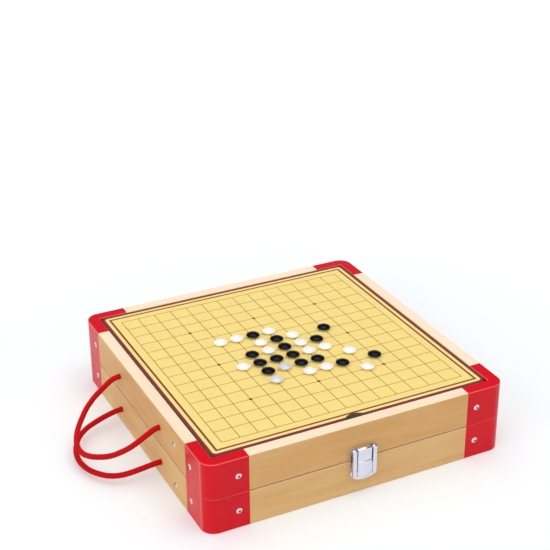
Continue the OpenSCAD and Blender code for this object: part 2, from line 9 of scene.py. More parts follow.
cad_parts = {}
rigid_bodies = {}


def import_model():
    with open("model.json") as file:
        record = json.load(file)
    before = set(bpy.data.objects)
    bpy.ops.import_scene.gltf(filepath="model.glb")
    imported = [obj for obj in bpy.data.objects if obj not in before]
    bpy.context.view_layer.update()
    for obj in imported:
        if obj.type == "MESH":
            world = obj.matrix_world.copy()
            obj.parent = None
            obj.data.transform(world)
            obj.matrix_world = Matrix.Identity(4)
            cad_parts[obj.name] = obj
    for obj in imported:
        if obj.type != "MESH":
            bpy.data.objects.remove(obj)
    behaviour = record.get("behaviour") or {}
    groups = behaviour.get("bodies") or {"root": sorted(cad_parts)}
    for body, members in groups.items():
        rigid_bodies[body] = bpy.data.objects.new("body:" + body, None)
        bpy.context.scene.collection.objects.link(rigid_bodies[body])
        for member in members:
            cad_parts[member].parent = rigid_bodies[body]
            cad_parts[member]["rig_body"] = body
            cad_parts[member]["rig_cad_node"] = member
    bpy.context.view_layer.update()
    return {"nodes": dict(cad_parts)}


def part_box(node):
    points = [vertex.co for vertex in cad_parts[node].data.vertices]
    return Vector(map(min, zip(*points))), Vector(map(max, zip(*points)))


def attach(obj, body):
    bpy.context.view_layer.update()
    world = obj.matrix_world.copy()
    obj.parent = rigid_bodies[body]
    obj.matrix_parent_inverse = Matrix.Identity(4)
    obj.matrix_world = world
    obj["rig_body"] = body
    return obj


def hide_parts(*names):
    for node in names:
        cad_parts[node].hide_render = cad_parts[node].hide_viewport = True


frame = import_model()
nodes = frame["nodes"]
mm = 0.001
quarter = math.pi / 2
print("frame loaded:", len(nodes), "nodes")


# Camera at the photograph's place, in metres and degrees
cameraSetup = {
    "place": (-0.53173, -1.05291, 0.73581),
    "azimuth": -26.32,
    "elevation": 25.92,
    "roll": -0.36,
    "lens": 83.7,
    "sensor": 36.0,
    "clip": (0.05, 60.0),
}


def makeCamera(setup):
    data = bpy.data.cameras.new("camera")
    data.lens = setup["lens"]
    data.sensor_width = setup["sensor"]
    data.clip_start, data.clip_end = setup["clip"]
    camera = bpy.data.objects.new("camera", data)
    bpy.context.scene.collection.objects.link(camera)
    turn = (
        Matrix.Rotation(math.radians(setup["azimuth"]), 4, "Z")
        @ Matrix.Rotation(math.radians(90 - setup["elevation"]), 4, "X")
        @ Matrix.Rotation(math.radians(setup["roll"]), 4, "Z")
    )
    camera.matrix_world = Matrix.Translation(setup["place"]) @ turn
    bpy.context.scene.camera = camera


makeCamera(cameraSetup)
bpy.context.scene.view_settings.view_transform = "Standard"
print("camera placed")


# Small helpers for objects

def pickOnly(*objects):
    if bpy.context.mode != "OBJECT":
        bpy.ops.object.mode_set(mode="OBJECT")
    bpy.ops.object.select_all(action="DESELECT")
    for obj in objects:
        obj.select_set(True)
    if objects:
        bpy.context.view_layer.objects.active = objects[0]


def meshObject(name, points, faces):
    mesh = bpy.data.meshes.new(name)
    mesh.from_pydata(points, [], faces)
    mesh.validate()
    obj = bpy.data.objects.new(name, mesh)
    bpy.context.scene.collection.objects.link(obj)
    return obj


def smooth(obj, angle):
    pickOnly(obj)
    bpy.ops.object.shade_smooth_by_angle(angle=math.radians(angle))


def dress(obj, *materials):
    obj.data.materials.clear()
    for material in materials:
        obj.data.materials.append(material)


# Rope handles. Each route is half of a handle in mm, from the knot inside the wall to the tip;
# x is counted from the left face, and the other half is its mirror image.
ropeSetup = {
    "diameter": 5.6 * mm,
    "sides": 48,
    "step": 0.45 * mm,
    "strands": 8,
    "relief": 0.5 * mm,
    "lower": [
        (13, 55, 17.5), (5, 55, 17.5), (-3, 55, 17.5), (-11, 54.5, 16.5), (-21, 53.5, 14.5),
        (-32, 51.5, 12), (-42, 48, 10), (-51, 41.5, 8.5), (-58, 32.5, 7.5), (-63, 22, 6.5),
        (-66, 11, 6), (-67, 0, 5.8),
    ],
    "upper": [
        (13, 55, 57.5), (5, 55, 57.5), (-3, 55, 57.5), (-10, 55.5, 55), (-20, 54.5, 48.5),
        (-30, 52.5, 42), (-40, 47.5, 35.5), (-48, 40.5, 30), (-55, 32, 26), (-61, 22, 22.5),
        (-65, 11, 20), (-66.5, 0, 19.5),
    ],
}
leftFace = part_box("base_wall_left")[0].x


def wholeRoute(half):
    near = [Vector((leftFace + x * mm, y * mm, z * mm)) for x, y, z in half]
    far = [Vector((p.x, -p.y, p.z)) for p in reversed(near[:-1])]
    return near + far


def smoothRoute(points, step):
    # A Catmull-Rom line through the points, in equal short steps
    fine = 24  # fine steps between two points of the route
    ends = [2 * points[0] - points[1]] + list(points) + [2 * points[-1] - points[-2]]
    dense = []
    for i in range(1, len(ends) - 2):
        a, b, c, d = ends[i - 1:i + 3]
        for k in range(fine):
            t = k / fine
            dense.append(0.5 * (2 * b + (c - a) * t + (2 * a - 5 * b + 4 * c - d) * t * t
                                + (3 * b - a - 3 * c + d) * t ** 3))
    dense.append(points[-1].copy())
    lengths = [0.0]
    for p, q in zip(dense, dense[1:]):
        lengths.append(lengths[-1] + (q - p).length)
    count = max(2, round(lengths[-1] / step))
    line, j = [], 0
    for i in range(count + 1):
        want = lengths[-1] * i / count
        while j < len(lengths) - 2 and lengths[j + 1] < want:
            j += 1
        share = (want - lengths[j]) / max(lengths[j + 1] - lengths[j], 1e-12)
        line.append(dense[j].lerp(dense[j + 1], share))
    return line, lengths[-1]


def braidHeight(around, along, strands):
    # Two sets of strands that cross and pass over and under each other, 0 in a furrow to 1 on a crest
    mean, dip, crown = 0.72, 0.28, 0.7
    p = around * strands + along * strands
    q = around * strands - along * strands
    rise = math.sin(math.pi * (math.floor(p) + math.floor(q) + 0.5))
    acrossP, acrossQ = abs(math.sin(math.pi * p)), abs(math.sin(math.pi * q))
    crestP = acrossP ** crown * (mean + dip * rise * acrossQ)
    crestQ = acrossQ ** crown * (mean - dip * rise * acrossP)
    return max(crestP, crestQ)


def braidedTube(name, line, diameter, sides, strands, relief):
    # A tube along the line, closed at both ends, that keeps each point's height on the braid and its lay
    radius = diameter / 2
    proud = 0.3 * relief
    around = 2 * math.pi * radius
    points, heights, maps = [], [], []
    heading = (line[1] - line[0]).normalized()
    up = Vector((0, 0, 1))
    if abs(heading.z) > 0.9:
        up = Vector((0, 1, 0))
    up = (up - up.dot(heading) * heading).normalized()
    travelled = 0.0
    for i, centre in enumerate(line):
        before = line[max(i - 1, 0)]
        after = line[min(i + 1, len(line) - 1)]
        heading = (after - before).normalized()
        up = (up - up.dot(heading) * heading).normalized()
        side = heading.cross(up)
        if i:
            travelled += (centre - line[i - 1]).length
        for k in range(sides):
            turn = k / sides
            height = braidHeight(turn, travelled / around, strands)
            r = radius - relief * (1 - height) + proud
            angle = 2 * math.pi * turn
            points.append(centre + r * (math.cos(angle) * up + math.sin(angle) * side))
            heights.append(height)
            maps.append((turn, travelled / around))
    faces = []
    for i in range(len(line) - 1):
        for k in range(sides):
            a = i * sides + k
            b = i * sides + (k + 1) % sides
            faces.append((a, a + sides, b + sides, b))
    last = (len(line) - 1) * sides
    faces.append(tuple(range(sides)))
    faces.append(tuple(last + k for k in reversed(range(sides))))
    obj = meshObject(name, points, faces)
    crest = obj.data.attributes.new("crest", "FLOAT", "POINT")
    crest.data.foreach_set("value", heights)
    lay = obj.data.uv_layers.new(name="lay")
    for polygon in obj.data.polygons:
        wraps = len(polygon.vertices) == 4 and polygon.vertices[2] % sides == 0
        for loop in polygon.loop_indices:
            vertex = obj.data.loops[loop].vertex_index
            turn, along = maps[vertex]
            if wraps and vertex % sides == 0:
                turn += 1.0
            lay.data[loop].uv = (turn, along)
    smooth(obj, 60)
    return obj


# Stopper knots: the rope runs in along +X, turns back and winds round itself towards the wall
knotSetup = {
    "diameter": 4.6 * mm, "turns": 1.75, "core": 9.0 * mm, "tail": 6.0 * mm,
    "sides": 32, "strands": 6, "relief": 0.45 * mm, "step": 0.54 * mm,
}


def knotRoute(start, side, setup):
    rope = setup["diameter"]
    wind = rope * 0.96
    points = [start + Vector((x, 0, 0)) for x in (0, 3 * mm, 6 * mm, setup["core"])]
    points.append(start + Vector((setup["core"] + 1.9 * mm, 0.35 * wind * side, 0)))
    steps = round(setup["turns"] * 12)
    for i in range(steps + 1):
        angle = 2 * math.pi * setup["turns"] * i / steps
        x = setup["core"] + 1.4 * mm - rope * 0.98 * setup["turns"] * i / steps
        points.append(start + Vector((x, wind * math.cos(angle) * side, wind * math.sin(angle))))
    out = (points[-1] - points[-2]).normalized()
    points.append(points[-1] + out * setup["tail"] / 2 + Vector((0.4 * mm, 0, 0)))
    points.append(points[-2] + out * setup["tail"] + Vector((1.0 * mm, 0, -0.6 * mm)))
    return points


def makeHandle(which, body):
    route = wholeRoute(ropeSetup[which])
    line, length = smoothRoute(route, ropeSetup["step"])
    rope = braidedTube("rope_handle_" + which, line, ropeSetup["diameter"], ropeSetup["sides"],
                       ropeSetup["strands"], ropeSetup["relief"])
    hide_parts("rope_" + which)
    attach(rope, body)
    halves = []
    for side in (1, -1):
        end = route[0] if side > 0 else route[-1]
        winding, _ = smoothRoute(knotRoute(end, side, knotSetup), knotSetup["step"])
        halves.append(braidedTube("knot", winding, knotSetup["diameter"], knotSetup["sides"],
                                  knotSetup["strands"], knotSetup["relief"]))
    pickOnly(*halves)
    bpy.ops.object.join()
    knots = bpy.context.object
    knots.name = "rope_knots_" + which
    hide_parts("rope_" + which + "_knots")
    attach(knots, body)
    print("rope", which, round(length, 4), "m")
    return rope, knots


ropePieces = []
for which, body in (("lower", "base"), ("upper", "lid")):
    ropePieces += makeHandle(which, body)


# Helpers for node materials

def colour(hexText):
    parts = [int(hexText[i:i + 2], 16) / 255 for i in (0, 2, 4)]
    return tuple(c / 12.92 if c <= 0.04045 else ((c + 0.055) / 1.055) ** 2.4 for c in parts) + (1.0,)


def put(tree, kind, **settings):
    node = tree.nodes.new(kind)
    for key, value in settings.items():
        setattr(node, key, value)
    return node


def feed(tree, socket, value):
    if isinstance(value, bpy.types.NodeSocket):
        tree.links.new(value, socket)
    else:
        socket.default_value = value


def calc(tree, operation, *values):
    node = put(tree, "ShaderNodeMath", operation=operation)
    for socket, value in zip(node.inputs, values):
        feed(tree, socket, value)
    return node.outputs[0]


def mathStep(operation):
    # A short name for one operation of calc
    return lambda tree, *values: calc(tree, operation, *values)


plus, minus, times = mathStep("ADD"), mathStep("SUBTRACT"), mathStep("MULTIPLY")
unsigned, root = mathStep("ABSOLUTE"), mathStep("SQRT")
lesser, greater = mathStep("MINIMUM"), mathStep("MAXIMUM")
isUnder, isOver = mathStep("LESS_THAN"), mathStep("GREATER_THAN")


def radial(tree, x, y):
    return root(tree, plus(tree, times(tree, x, x), times(tree, y, y)))


def axesOf(tree, vector):
    node = put(tree, "ShaderNodeSeparateXYZ")
    feed(tree, node.inputs[0], vector)
    return node.outputs


def mixColour(tree, share, low, high, mode="MIX"):
    node = put(tree, "ShaderNodeMix", data_type="RGBA", blend_type=mode)
    feed(tree, node.inputs[0], share)
    feed(tree, node.inputs[6], low)
    feed(tree, node.inputs[7], high)
    return node.outputs[2]


def between(tree, value, low, high, newLow=0.0, newHigh=1.0, soft=True):
    node = put(tree, "ShaderNodeMapRange", interpolation_type="SMOOTHSTEP" if soft else "LINEAR")
    for socket, given in zip(node.inputs, (value, low, high, newLow, newHigh)):
        feed(tree, socket, given)
    return node.outputs[0]


def scaled(tree, vector, scale, turn=(0, 0, 0)):
    node = put(tree, "ShaderNodeMapping")
    feed(tree, node.inputs["Vector"], vector)
    node.inputs["Rotation"].default_value = turn
    node.inputs["Scale"].default_value = scale
    return node.outputs[0]


def noise(tree, vector, scale, detail=3.0, rough=0.5, distort=0.0):
    node = put(tree, "ShaderNodeTexNoise")
    feed(tree, node.inputs["Vector"], vector)
    node.inputs["Scale"].default_value = scale
    node.inputs["Detail"].default_value = detail
    node.inputs["Roughness"].default_value = rough
    node.inputs["Distortion"].default_value = distort
    return node.outputs["Fac"]


def startGroup(name, inputs, outputs):
    group = bpy.data.node_groups.new(name, "ShaderNodeTree")
    for label, kind, value in inputs:
        socket = group.interface.new_socket(name=label, in_out="INPUT", socket_type="NodeSocket" + kind)
        if value is not None:
            socket.default_value = value
    for label, kind in outputs:
        group.interface.new_socket(name=label, in_out="OUTPUT", socket_type="NodeSocket" + kind)
    return group, put(group, "NodeGroupInput").outputs, put(group, "NodeGroupOutput").inputs


def place(tree, group, **values):
    node = put(tree, "ShaderNodeGroup", node_tree=group)
    for label, value in values.items():
        feed(tree, node.inputs[label], value)
    return node.outputs


surfaceOutputs = [("Color", "Color"), ("Roughness", "Float"), ("Height", "Float")]


# Wood figure: long streaks, fine fibres and short flecks along X of the vector it is given

def makeWoodFigure():
    group, given, out = startGroup("woodFigure", [
        ("Vector", "Vector", None), ("Light", "Color", (0.7, 0.5, 0.3, 1)),
        ("Dark", "Color", (0.5, 0.3, 0.1, 1)), ("Flecks", "Float", 0.25),
    ], surfaceOutputs)
    vector = given["Vector"]
    bands = noise(group, scaled(group, vector, (5, 46, 46)), 1.0, 4.0, 0.55, 0.6)
    fibres = noise(group, scaled(group, vector, (26, 620, 620)), 1.0, 5.0, 0.62, 0.2)
    dashes = noise(group, scaled(group, vector, (190, 1250, 1250)), 1.0, 2.0, 0.5)
    tone = plus(group, times(group, between(group, bands, 0.3, 0.7), 0.62), times(group, fibres, 0.38))
    fleck = between(group, dashes, 0.6, 0.7)
    body = mixColour(group, tone, given["Light"], given["Dark"])
    flecked = times(group, fleck, given["Flecks"])
    feed(group, out["Color"], mixColour(group, flecked, body, (0.7, 0.6, 0.5, 1), "MULTIPLY"))
    feed(group, out["Roughness"], between(group, fibres, 0.2, 0.8, 0.46, 0.6, False))
    feed(group, out["Height"], minus(group, fibres, times(group, fleck, 0.6)))
    return group


# Which way a face looks on the piece itself: up, down or sideways

def makeFacing():
    group, given, out = startGroup("facing", [("Normal", "Vector", None)],
                                   [(way, "Float") for way in ("Up", "Down", "Side", "Arris")])
    level = axesOf(group, given["Normal"])[2]
    up = between(group, level, 0.55, 0.92)
    down = between(group, times(group, level, -1.0), 0.55, 0.92)
    feed(group, out["Up"], up)
    feed(group, out["Down"], down)
    feed(group, out["Side"], minus(group, minus(group, 1.0, up), down))
    steep = unsigned(group, level)
    feed(group, out["Arris"], times(group, between(group, steep, 0.12, 0.4),
                                   between(group, steep, 0.86, 0.98, 1.0, 0.0)))
    return group


# Distance inwards from the rounded edge of a square, in metres

def makeEdgeDistance():
    group, given, out = startGroup(
        "edgeDistance", [("Vector", "Vector", None), ("Half", "Float", 0.151), ("Radius", "Float", 0.007)],
        [("Distance", "Float")])
    x, y, _ = axesOf(group, given["Vector"])
    core = minus(group, given["Half"], given["Radius"])
    pastX = minus(group, unsigned(group, x), core)
    pastY = minus(group, unsigned(group, y), core)
    outer = radial(group, greater(group, pastX, 0.0), greater(group, pastY, 0.0))
    inner = lesser(group, greater(group, pastX, pastY), 0.0)
    feed(group, out["Distance"], minus(group, given["Radius"], plus(group, outer, inner)))
    return group


# Printed ink: faint mottling and the grit of the print

def makeInk():
    group, given, out = startGroup("printedInk", [
        ("Vector", "Vector", None), ("Color", "Color", (0.5, 0.5, 0.5, 1)),
    ], surfaceOutputs)
    cloud = noise(group, given["Vector"], 38.0, 3.0, 0.55)
    grit = noise(group, given["Vector"], 1900.0, 2.0, 0.5)
    share = plus(group, times(group, between(group, cloud, 0.3, 0.7), 0.07),
                 times(group, between(group, grit, 0.35, 0.75), 0.05))
    feed(group, out["Color"], mixColour(group, share, given["Color"], (0.55, 0.55, 0.58, 1), "MULTIPLY"))
    feed(group, out["Roughness"], between(group, cloud, 0.3, 0.7, 0.36, 0.46, False))
    feed(group, out["Height"], grit)
    return group


# Gloss paint: soft waves of the coat over a faint trace of grain, and slow clouds of a darker tone

def makePaint():
    group, given, out = startGroup("glossPaint", [
        ("Vector", "Vector", None), ("Color", "Color", (0.6, 0, 0, 1)),
    ], surfaceOutputs)
    waves = noise(group, given["Vector"], 420.0, 2.0, 0.45)
    cloud = noise(group, given["Vector"], 24.0, 3.0, 0.5)
    grain = noise(group, scaled(group, given["Vector"], (60, 60, 520)), 1.0, 3.0, 0.55)
    share = times(group, between(group, cloud, 0.3, 0.7), 0.35)
    feed(group, out["Color"], mixColour(group, share, given["Color"], (0.74, 0.6, 0.6, 1), "MULTIPLY"))
    feed(group, out["Roughness"], between(group, cloud, 0.25, 0.75, 0.2, 0.29, False))
    feed(group, out["Height"], plus(group, waves, times(group, grain, 0.35)))
    return group


# Plated metal: hairline scratches and handling marks

def makePlating():
    group, given, out = startGroup("platedMetal", [
        ("Vector", "Vector", None), ("Color", "Color", (0.7, 0.7, 0.7, 1)), ("Gloss", "Float", 0.15),
    ], surfaceOutputs)
    smudge = noise(group, given["Vector"], 160.0, 4.0, 0.6)
    lines = noise(group, scaled(group, given["Vector"], (3200, 3200, 90)), 1.0, 3.0, 0.6)
    share = times(group, between(group, smudge, 0.4, 0.75), 0.5)
    feed(group, out["Color"], mixColour(group, share, given["Color"], (0.8, 0.79, 0.78, 1), "MULTIPLY"))
    dull = times(group, between(group, smudge, 0.3, 0.8), 0.12)
    feed(group, out["Roughness"], plus(group, given["Gloss"], dull))
    feed(group, out["Height"], lines)
    return group


woodFigure = makeWoodFigure()
facing = makeFacing()
edgeDistance = makeEdgeDistance()
printedInk = makeInk()
glossPaint = makePaint()
platedMetal = makePlating()
print("node groups made")


# Materials

def newMaterial(name):
    material = bpy.data.materials.new(name)
    material.use_nodes = True
    tree = material.node_tree
    shader = tree.nodes["Principled BSDF"]
    seat = put(tree, "ShaderNodeTexCoord")
    return material, tree, shader, seat


def raised(tree, shader, height, depth):
    bump = put(tree, "ShaderNodeBump")
    bump.inputs["Strength"].default_value = 1.0
    bump.inputs["Distance"].default_value = depth
    feed(tree, bump.inputs["Height"], height)
    feed(tree, shader.inputs["Normal"], bump.outputs[0])


def finish(tree, shader, result, depth, colourOut=None):
    # Colour, roughness and bump from a group's outputs; depth is the relief in metres
    feed(tree, shader.inputs["Base Color"], colourOut or result["Color"])
    feed(tree, shader.inputs["Roughness"], result["Roughness"])
    raised(tree, shader, result["Height"], depth)


seamHeight = 38.5 * mm  # where the two halves of the box meet
woodSetup = {
    "wall": ("E4BE86", "D2A264"), "rim": ("F8E5CC", "F0D6B6"), "inside": ("D8AE78", "C49458"),
    "ply": ("E6C796", "D6B078"), "relief": 0.03 * mm, "upperTint": "FBF4EC",
    # The seam colours are a painted shade for the joint's arrises and a painted highlight for a strip just
    # under it
    "seamShade": "8E5A2C", "seamHighlight": "F6DCB0", "highlightBelowSeam": 1.3 * mm,
}


def woodTone(tree, vector, tints, flecks):
    light, dark = tints
    return place(tree, woodFigure, Vector=vector, Light=colour(light), Dark=colour(dark), Flecks=flecks)


def seamTone(tree, seat, tone, side):
    # The upper half is of slightly darker boards. The joint's arrises get painted shade, though unevenly, and
    # a painted highlight strip runs just under the joint
    high = axesOf(tree, seat.outputs["Object"])[2]
    upper = times(tree, isOver(tree, high, seamHeight), side)
    tone = mixColour(tree, upper, tone, colour(woodSetup["upperTint"]), "MULTIPLY")
    off = unsigned(tree, minus(tree, high, seamHeight))
    patchy = noise(tree, seat.outputs["Object"], 90.0, 3.0)
    # Painted shade, patchy, on the arrises near the joint
    jointShade = times(tree, between(tree, off, 0.4 * mm, 0.95 * mm, 1.0, 0.0),
                 between(tree, patchy, 0.3, 0.6, 0.75, 1.0))
    level = axesOf(tree, seat.outputs["Normal"])[2]
    upright = between(tree, unsigned(tree, level), 0.93, 0.99, 1.0, 0.0)
    # Painted highlight: a light strip just under the joint
    below = unsigned(tree, minus(tree, high, seamHeight - woodSetup["highlightBelowSeam"]))
    lit = times(tree, between(tree, below, 0.2 * mm, 0.6 * mm, 0.5, 0.0), side)
    tone = mixColour(tree, lit, tone, colour(woodSetup["seamHighlight"]))
    return mixColour(tree, times(tree, jointShade, upright), tone, colour(woodSetup["seamShade"]))


def makeBeech(name, turn, tints, rimTints=None):
    material, tree, shader, seat = newMaterial(name)
    along = scaled(tree, seat.outputs["Object"], (1, 1, 1), (0, 0, turn))
    figure = woodTone(tree, along, tints, 0.3)
    tone = figure["Color"]
    # Faces that look up take the paler rim tints
    if rimTints:
        rim = woodTone(tree, along, rimTints, 0.2)
        ways = place(tree, facing, Normal=seat.outputs["Normal"])
        tone = seamTone(tree, seat, mixColour(tree, ways["Up"], tone, rim["Color"]), ways["Side"])
    finish(tree, shader, figure, woodSetup["relief"], tone)
    shader.inputs["Specular IOR Level"].default_value = 0.32
    shader.inputs["Coat Weight"].default_value = 0.06
    shader.inputs["Coat Roughness"].default_value = 0.3
    return material


beechAlong = makeBeech("beechAlong", 0, woodSetup["wall"], woodSetup["rim"])
beechAcross = makeBeech("beechAcross", quarter, woodSetup["wall"], woodSetup["rim"])
dividerAlong = makeBeech("dividerAlong", 0, woodSetup["inside"])
dividerAcross = makeBeech("dividerAcross", quarter, woodSetup["inside"])
plywood = makeBeech("plywood", 0, woodSetup["ply"])


# Two of these red colours are painted highlights: one over the arrises, one where a leg runs into its round
redSetup = {"paint": "D80B22", "arrisHighlight": "F58C86", "bendHighlight": "F08A72", "relief": 0.012 * mm, "gloss": 0.2}


def makeRedPaint():
    material, tree, shader, seat = newMaterial("redPaint")
    # Painted highlight: the paint is made lighter over the arrises
    coat = place(tree, glossPaint, Vector=seat.outputs["Object"], Color=colour(redSetup["paint"]))
    arrisHighlight = place(tree, facing, Normal=seat.outputs["Normal"])["Arris"]
    highlighted = mixColour(tree, times(tree, arrisHighlight, 0.5), coat["Color"], colour(redSetup["arrisHighlight"]))
    # and a fainter painted highlight where the side leg of a corner runs into its round
    sideways = unsigned(tree, axesOf(tree, seat.outputs["Normal"])[0])
    rising = between(tree, sideways, 0.93, 0.985)
    falling = between(tree, sideways, 0.993, 0.9995, 0.42, 0.0)
    highlighted = mixColour(tree, times(tree, rising, falling), highlighted, colour(redSetup["bendHighlight"]))
    finish(tree, shader, coat, redSetup["relief"], highlighted)
    shader.inputs["Specular IOR Level"].default_value = redSetup["gloss"]
    return material


redPaint = makeRedPaint()


metalSetup = {"nickel": ("E2DEDC", 0.2), "chrome": ("DFE5F7", 0.12), "hingeSteel": ("D0CCC6", 0.24)}


def makeMetal(name):
    material, tree, shader, seat = newMaterial(name)
    tint, gloss = metalSetup[name]
    plate = place(tree, platedMetal, Vector=seat.outputs["Object"], Color=colour(tint), Gloss=gloss)
    finish(tree, shader, plate, 0.002 * mm)
    shader.inputs["Metallic"].default_value = 1.0
    return material


nickel = makeMetal("nickel")
chrome = makeMetal("chrome")
hingeSteel = makeMetal("hingeSteel")


# Where the wall screws sit: along the wall and away from the joint between the halves. The dark colour is
# painted shade for their recesses
screwSetup = {
    "dark": "2A2624", "relief": 0.002 * mm, "recess": 1.75 * mm, "core": 1.05 * mm,
    "wall": 165 * mm, "head": 0.75 * mm, "corner": (131 * mm, 19.3 * mm), "divider": (-92.5 * mm, 23.5 * mm),
}


def makeScrewMetal():
    # Painted shade in the cross recess of a wall screw: its floor, its walls and all faces near the screw's
    # axis are painted dark and not metallic
    setup = screwSetup
    material, tree, shader, seat = newMaterial("screwMetal")
    tint, gloss = metalSetup["nickel"]
    plate = place(tree, platedMetal, Vector=seat.outputs["Object"], Color=colour(tint), Gloss=gloss)
    x, y, high = axesOf(tree, seat.outputs["Object"])
    wayX, wayY, _ = axesOf(tree, seat.outputs["Normal"])
    sideX, sideY = unsigned(tree, x), unsigned(tree, y)
    far = greater(tree, sideX, sideY)
    out = greater(tree, unsigned(tree, wayX), unsigned(tree, wayY))
    level = unsigned(tree, minus(tree, high, seamHeight))
    rings = []
    for along, (at, up) in ((lesser(tree, sideX, sideY), setup["corner"]), (y, setup["divider"])):
        rings.append(radial(tree, minus(tree, along, at), minus(tree, level, up)))
    ring = lesser(tree, *rings)
    floor = times(tree, isOver(tree, out, 0.9), isUnder(tree, far, setup["wall"] + setup["head"]))
    deep = times(tree, isUnder(tree, ring, setup["recess"]), greater(tree, floor, isUnder(tree, out, 0.5)))
    deep = greater(tree, deep, isUnder(tree, ring, setup["core"]))
    finish(tree, shader, plate, setup["relief"], mixColour(tree, deep, plate["Color"], colour(setup["dark"])))
    feed(tree, shader.inputs["Metallic"], minus(tree, 1.0, deep))
    return material


screwMetal = makeScrewMetal()

# Painted shade: the braid's furrows get a darker red than its crests
fibreSetup = {"furrowShade": "90040C", "crest": "D60A14", "yarn": "E0282C", "relief": 0.08 * mm}


def makeRopeFibre():
    material, tree, shader, seat = newMaterial("ropeFibre")
    crest = put(tree, "ShaderNodeAttribute", attribute_name="crest").outputs["Fac"]
    lay = put(tree, "ShaderNodeUVMap", uv_map="lay").outputs[0]
    yarn = noise(tree, scaled(tree, lay, (260, 60, 1)), 1.0, 3.0, 0.6)
    fuzz = noise(tree, seat.outputs["Object"], 2600.0, 2.0, 0.6)
    # Painted shade, darker towards the furrows of the braid
    tone = mixColour(tree, between(tree, crest, 0.35, 0.95), colour(fibreSetup["furrowShade"]),
                     colour(fibreSetup["crest"]))
    lit = times(tree, between(tree, yarn, 0.4, 0.75), 0.45)
    tone = mixColour(tree, lit, tone, colour(fibreSetup["yarn"]))
    feed(tree, shader.inputs["Base Color"], tone)
    shader.inputs["Roughness"].default_value = 0.62
    shader.inputs["Specular IOR Level"].default_value = 0.08
    shader.inputs["Sheen Weight"].default_value = 0.03
    shader.inputs["Sheen Roughness"].default_value = 0.4
    raised(tree, shader, plus(tree, yarn, times(tree, fuzz, 0.6)), fibreSetup["relief"])
    return material


ropeFibre = makeRopeFibre()
for piece in ropePieces:
    dress(piece, ropeFibre)


stoneSetup = {
    "white": "FBFAF6", "black": "0B0D16", "greyTint": "DCDFE6", "greyReach": 9.5 * mm,
    "greyAt": ((-38, -57), (-19, -38)),
}


def makeEnamel(name, tint, coat=0.4, gloss=0.5, greyAt=()):
    # Painted or moulded small pieces; those at the given places are tinted greyer
    material, tree, shader, seat = newMaterial(name)
    paint = place(tree, glossPaint, Vector=seat.outputs["Object"], Color=colour(tint))
    tone = paint["Color"]
    for spot in greyAt:
        gap = put(tree, "ShaderNodeVectorMath", operation="DISTANCE")
        feed(tree, gap.inputs[0], seat.outputs["Object"])
        gap.inputs[1].default_value = spot
        near = isUnder(tree, gap.outputs["Value"], stoneSetup["greyReach"])
        tone = mixColour(tree, near, tone, colour(stoneSetup["greyTint"]), "MULTIPLY")
    finish(tree, shader, paint, 0.006 * mm, tone)
    shader.inputs["Specular IOR Level"].default_value = gloss
    shader.inputs["Coat Weight"].default_value = coat
    shader.inputs["Coat Roughness"].default_value = 0.1
    return material


stones = nodes["stones_white"]
stoneLevel = min((stones.matrix_world @ v.co).z for v in stones.data.vertices)
whiteStone = makeEnamel("whiteStone", stoneSetup["white"],
                        greyAt=[(x * mm, y * mm, stoneLevel) for x, y in stoneSetup["greyAt"]])
blackStone = makeEnamel("blackStone", stoneSetup["black"], 0.03, 0.1)

pawnTints = {
    "pawns_red": "D81E28", "pawns_blue": "1E6FC0", "pawns_green": "5DAE3C", "pawns_yellow": "F4BE18",
}
discTints = {"darkDisc": ("5A3320", "3E2114"), "redDisc": ("E9C591", "CFA067")}


def makeStained(name):
    material, tree, shader, seat = newMaterial(name)
    upright = scaled(tree, seat.outputs["Object"], (1, 1, 1), (0, quarter, 0))
    figure = woodTone(tree, upright, discTints[name], 0.6)
    finish(tree, shader, figure, 0.02 * mm)
    shader.inputs["Coat Weight"].default_value = 0.25
    shader.inputs["Coat Roughness"].default_value = 0.2
    return material


# Each die's middle in mm and its turn in degrees; "round" is how far its rounded corners reach
diceSetup = {
    "places": (((-76, -138, 11.5), 10), ((-66, -116, 11.5), 35)), "half": 6.46 * mm, "round": 9.6 * mm,
    "ivory": "F6F1E4", "pips": "1C1A1A",
}


def makeDice():
    # Ivory body with black paint in the pips, which lie below the cube's faces
    setup = diceSetup
    material, tree, shader, seat = newMaterial("diceBody")
    paint = place(tree, glossPaint, Vector=seat.outputs["Object"], Color=colour(setup["ivory"]))
    deep = 0.0
    for spot, angle in setup["places"]:
        local = put(tree, "ShaderNodeMapping", vector_type="TEXTURE")
        feed(tree, local.inputs["Vector"], seat.outputs["Object"])
        local.inputs["Location"].default_value = [v * mm for v in spot]
        local.inputs["Rotation"].default_value[2] = math.radians(angle)
        away = put(tree, "ShaderNodeVectorMath", operation="LENGTH")
        feed(tree, away.inputs[0], local.outputs[0])
        x, y, z = [unsigned(tree, way) for way in axesOf(tree, local.outputs[0])]
        reach = greater(tree, greater(tree, x, y), z)
        inside = times(tree, isUnder(tree, reach, setup["half"]),
                       isUnder(tree, away.outputs["Value"], setup["round"]))
        deep = greater(tree, deep, inside)
    finish(tree, shader, paint, 0.004 * mm, mixColour(tree, deep, paint["Color"], colour(setup["pips"])))
    return material


diceBody = makeDice()
print("plain materials made")

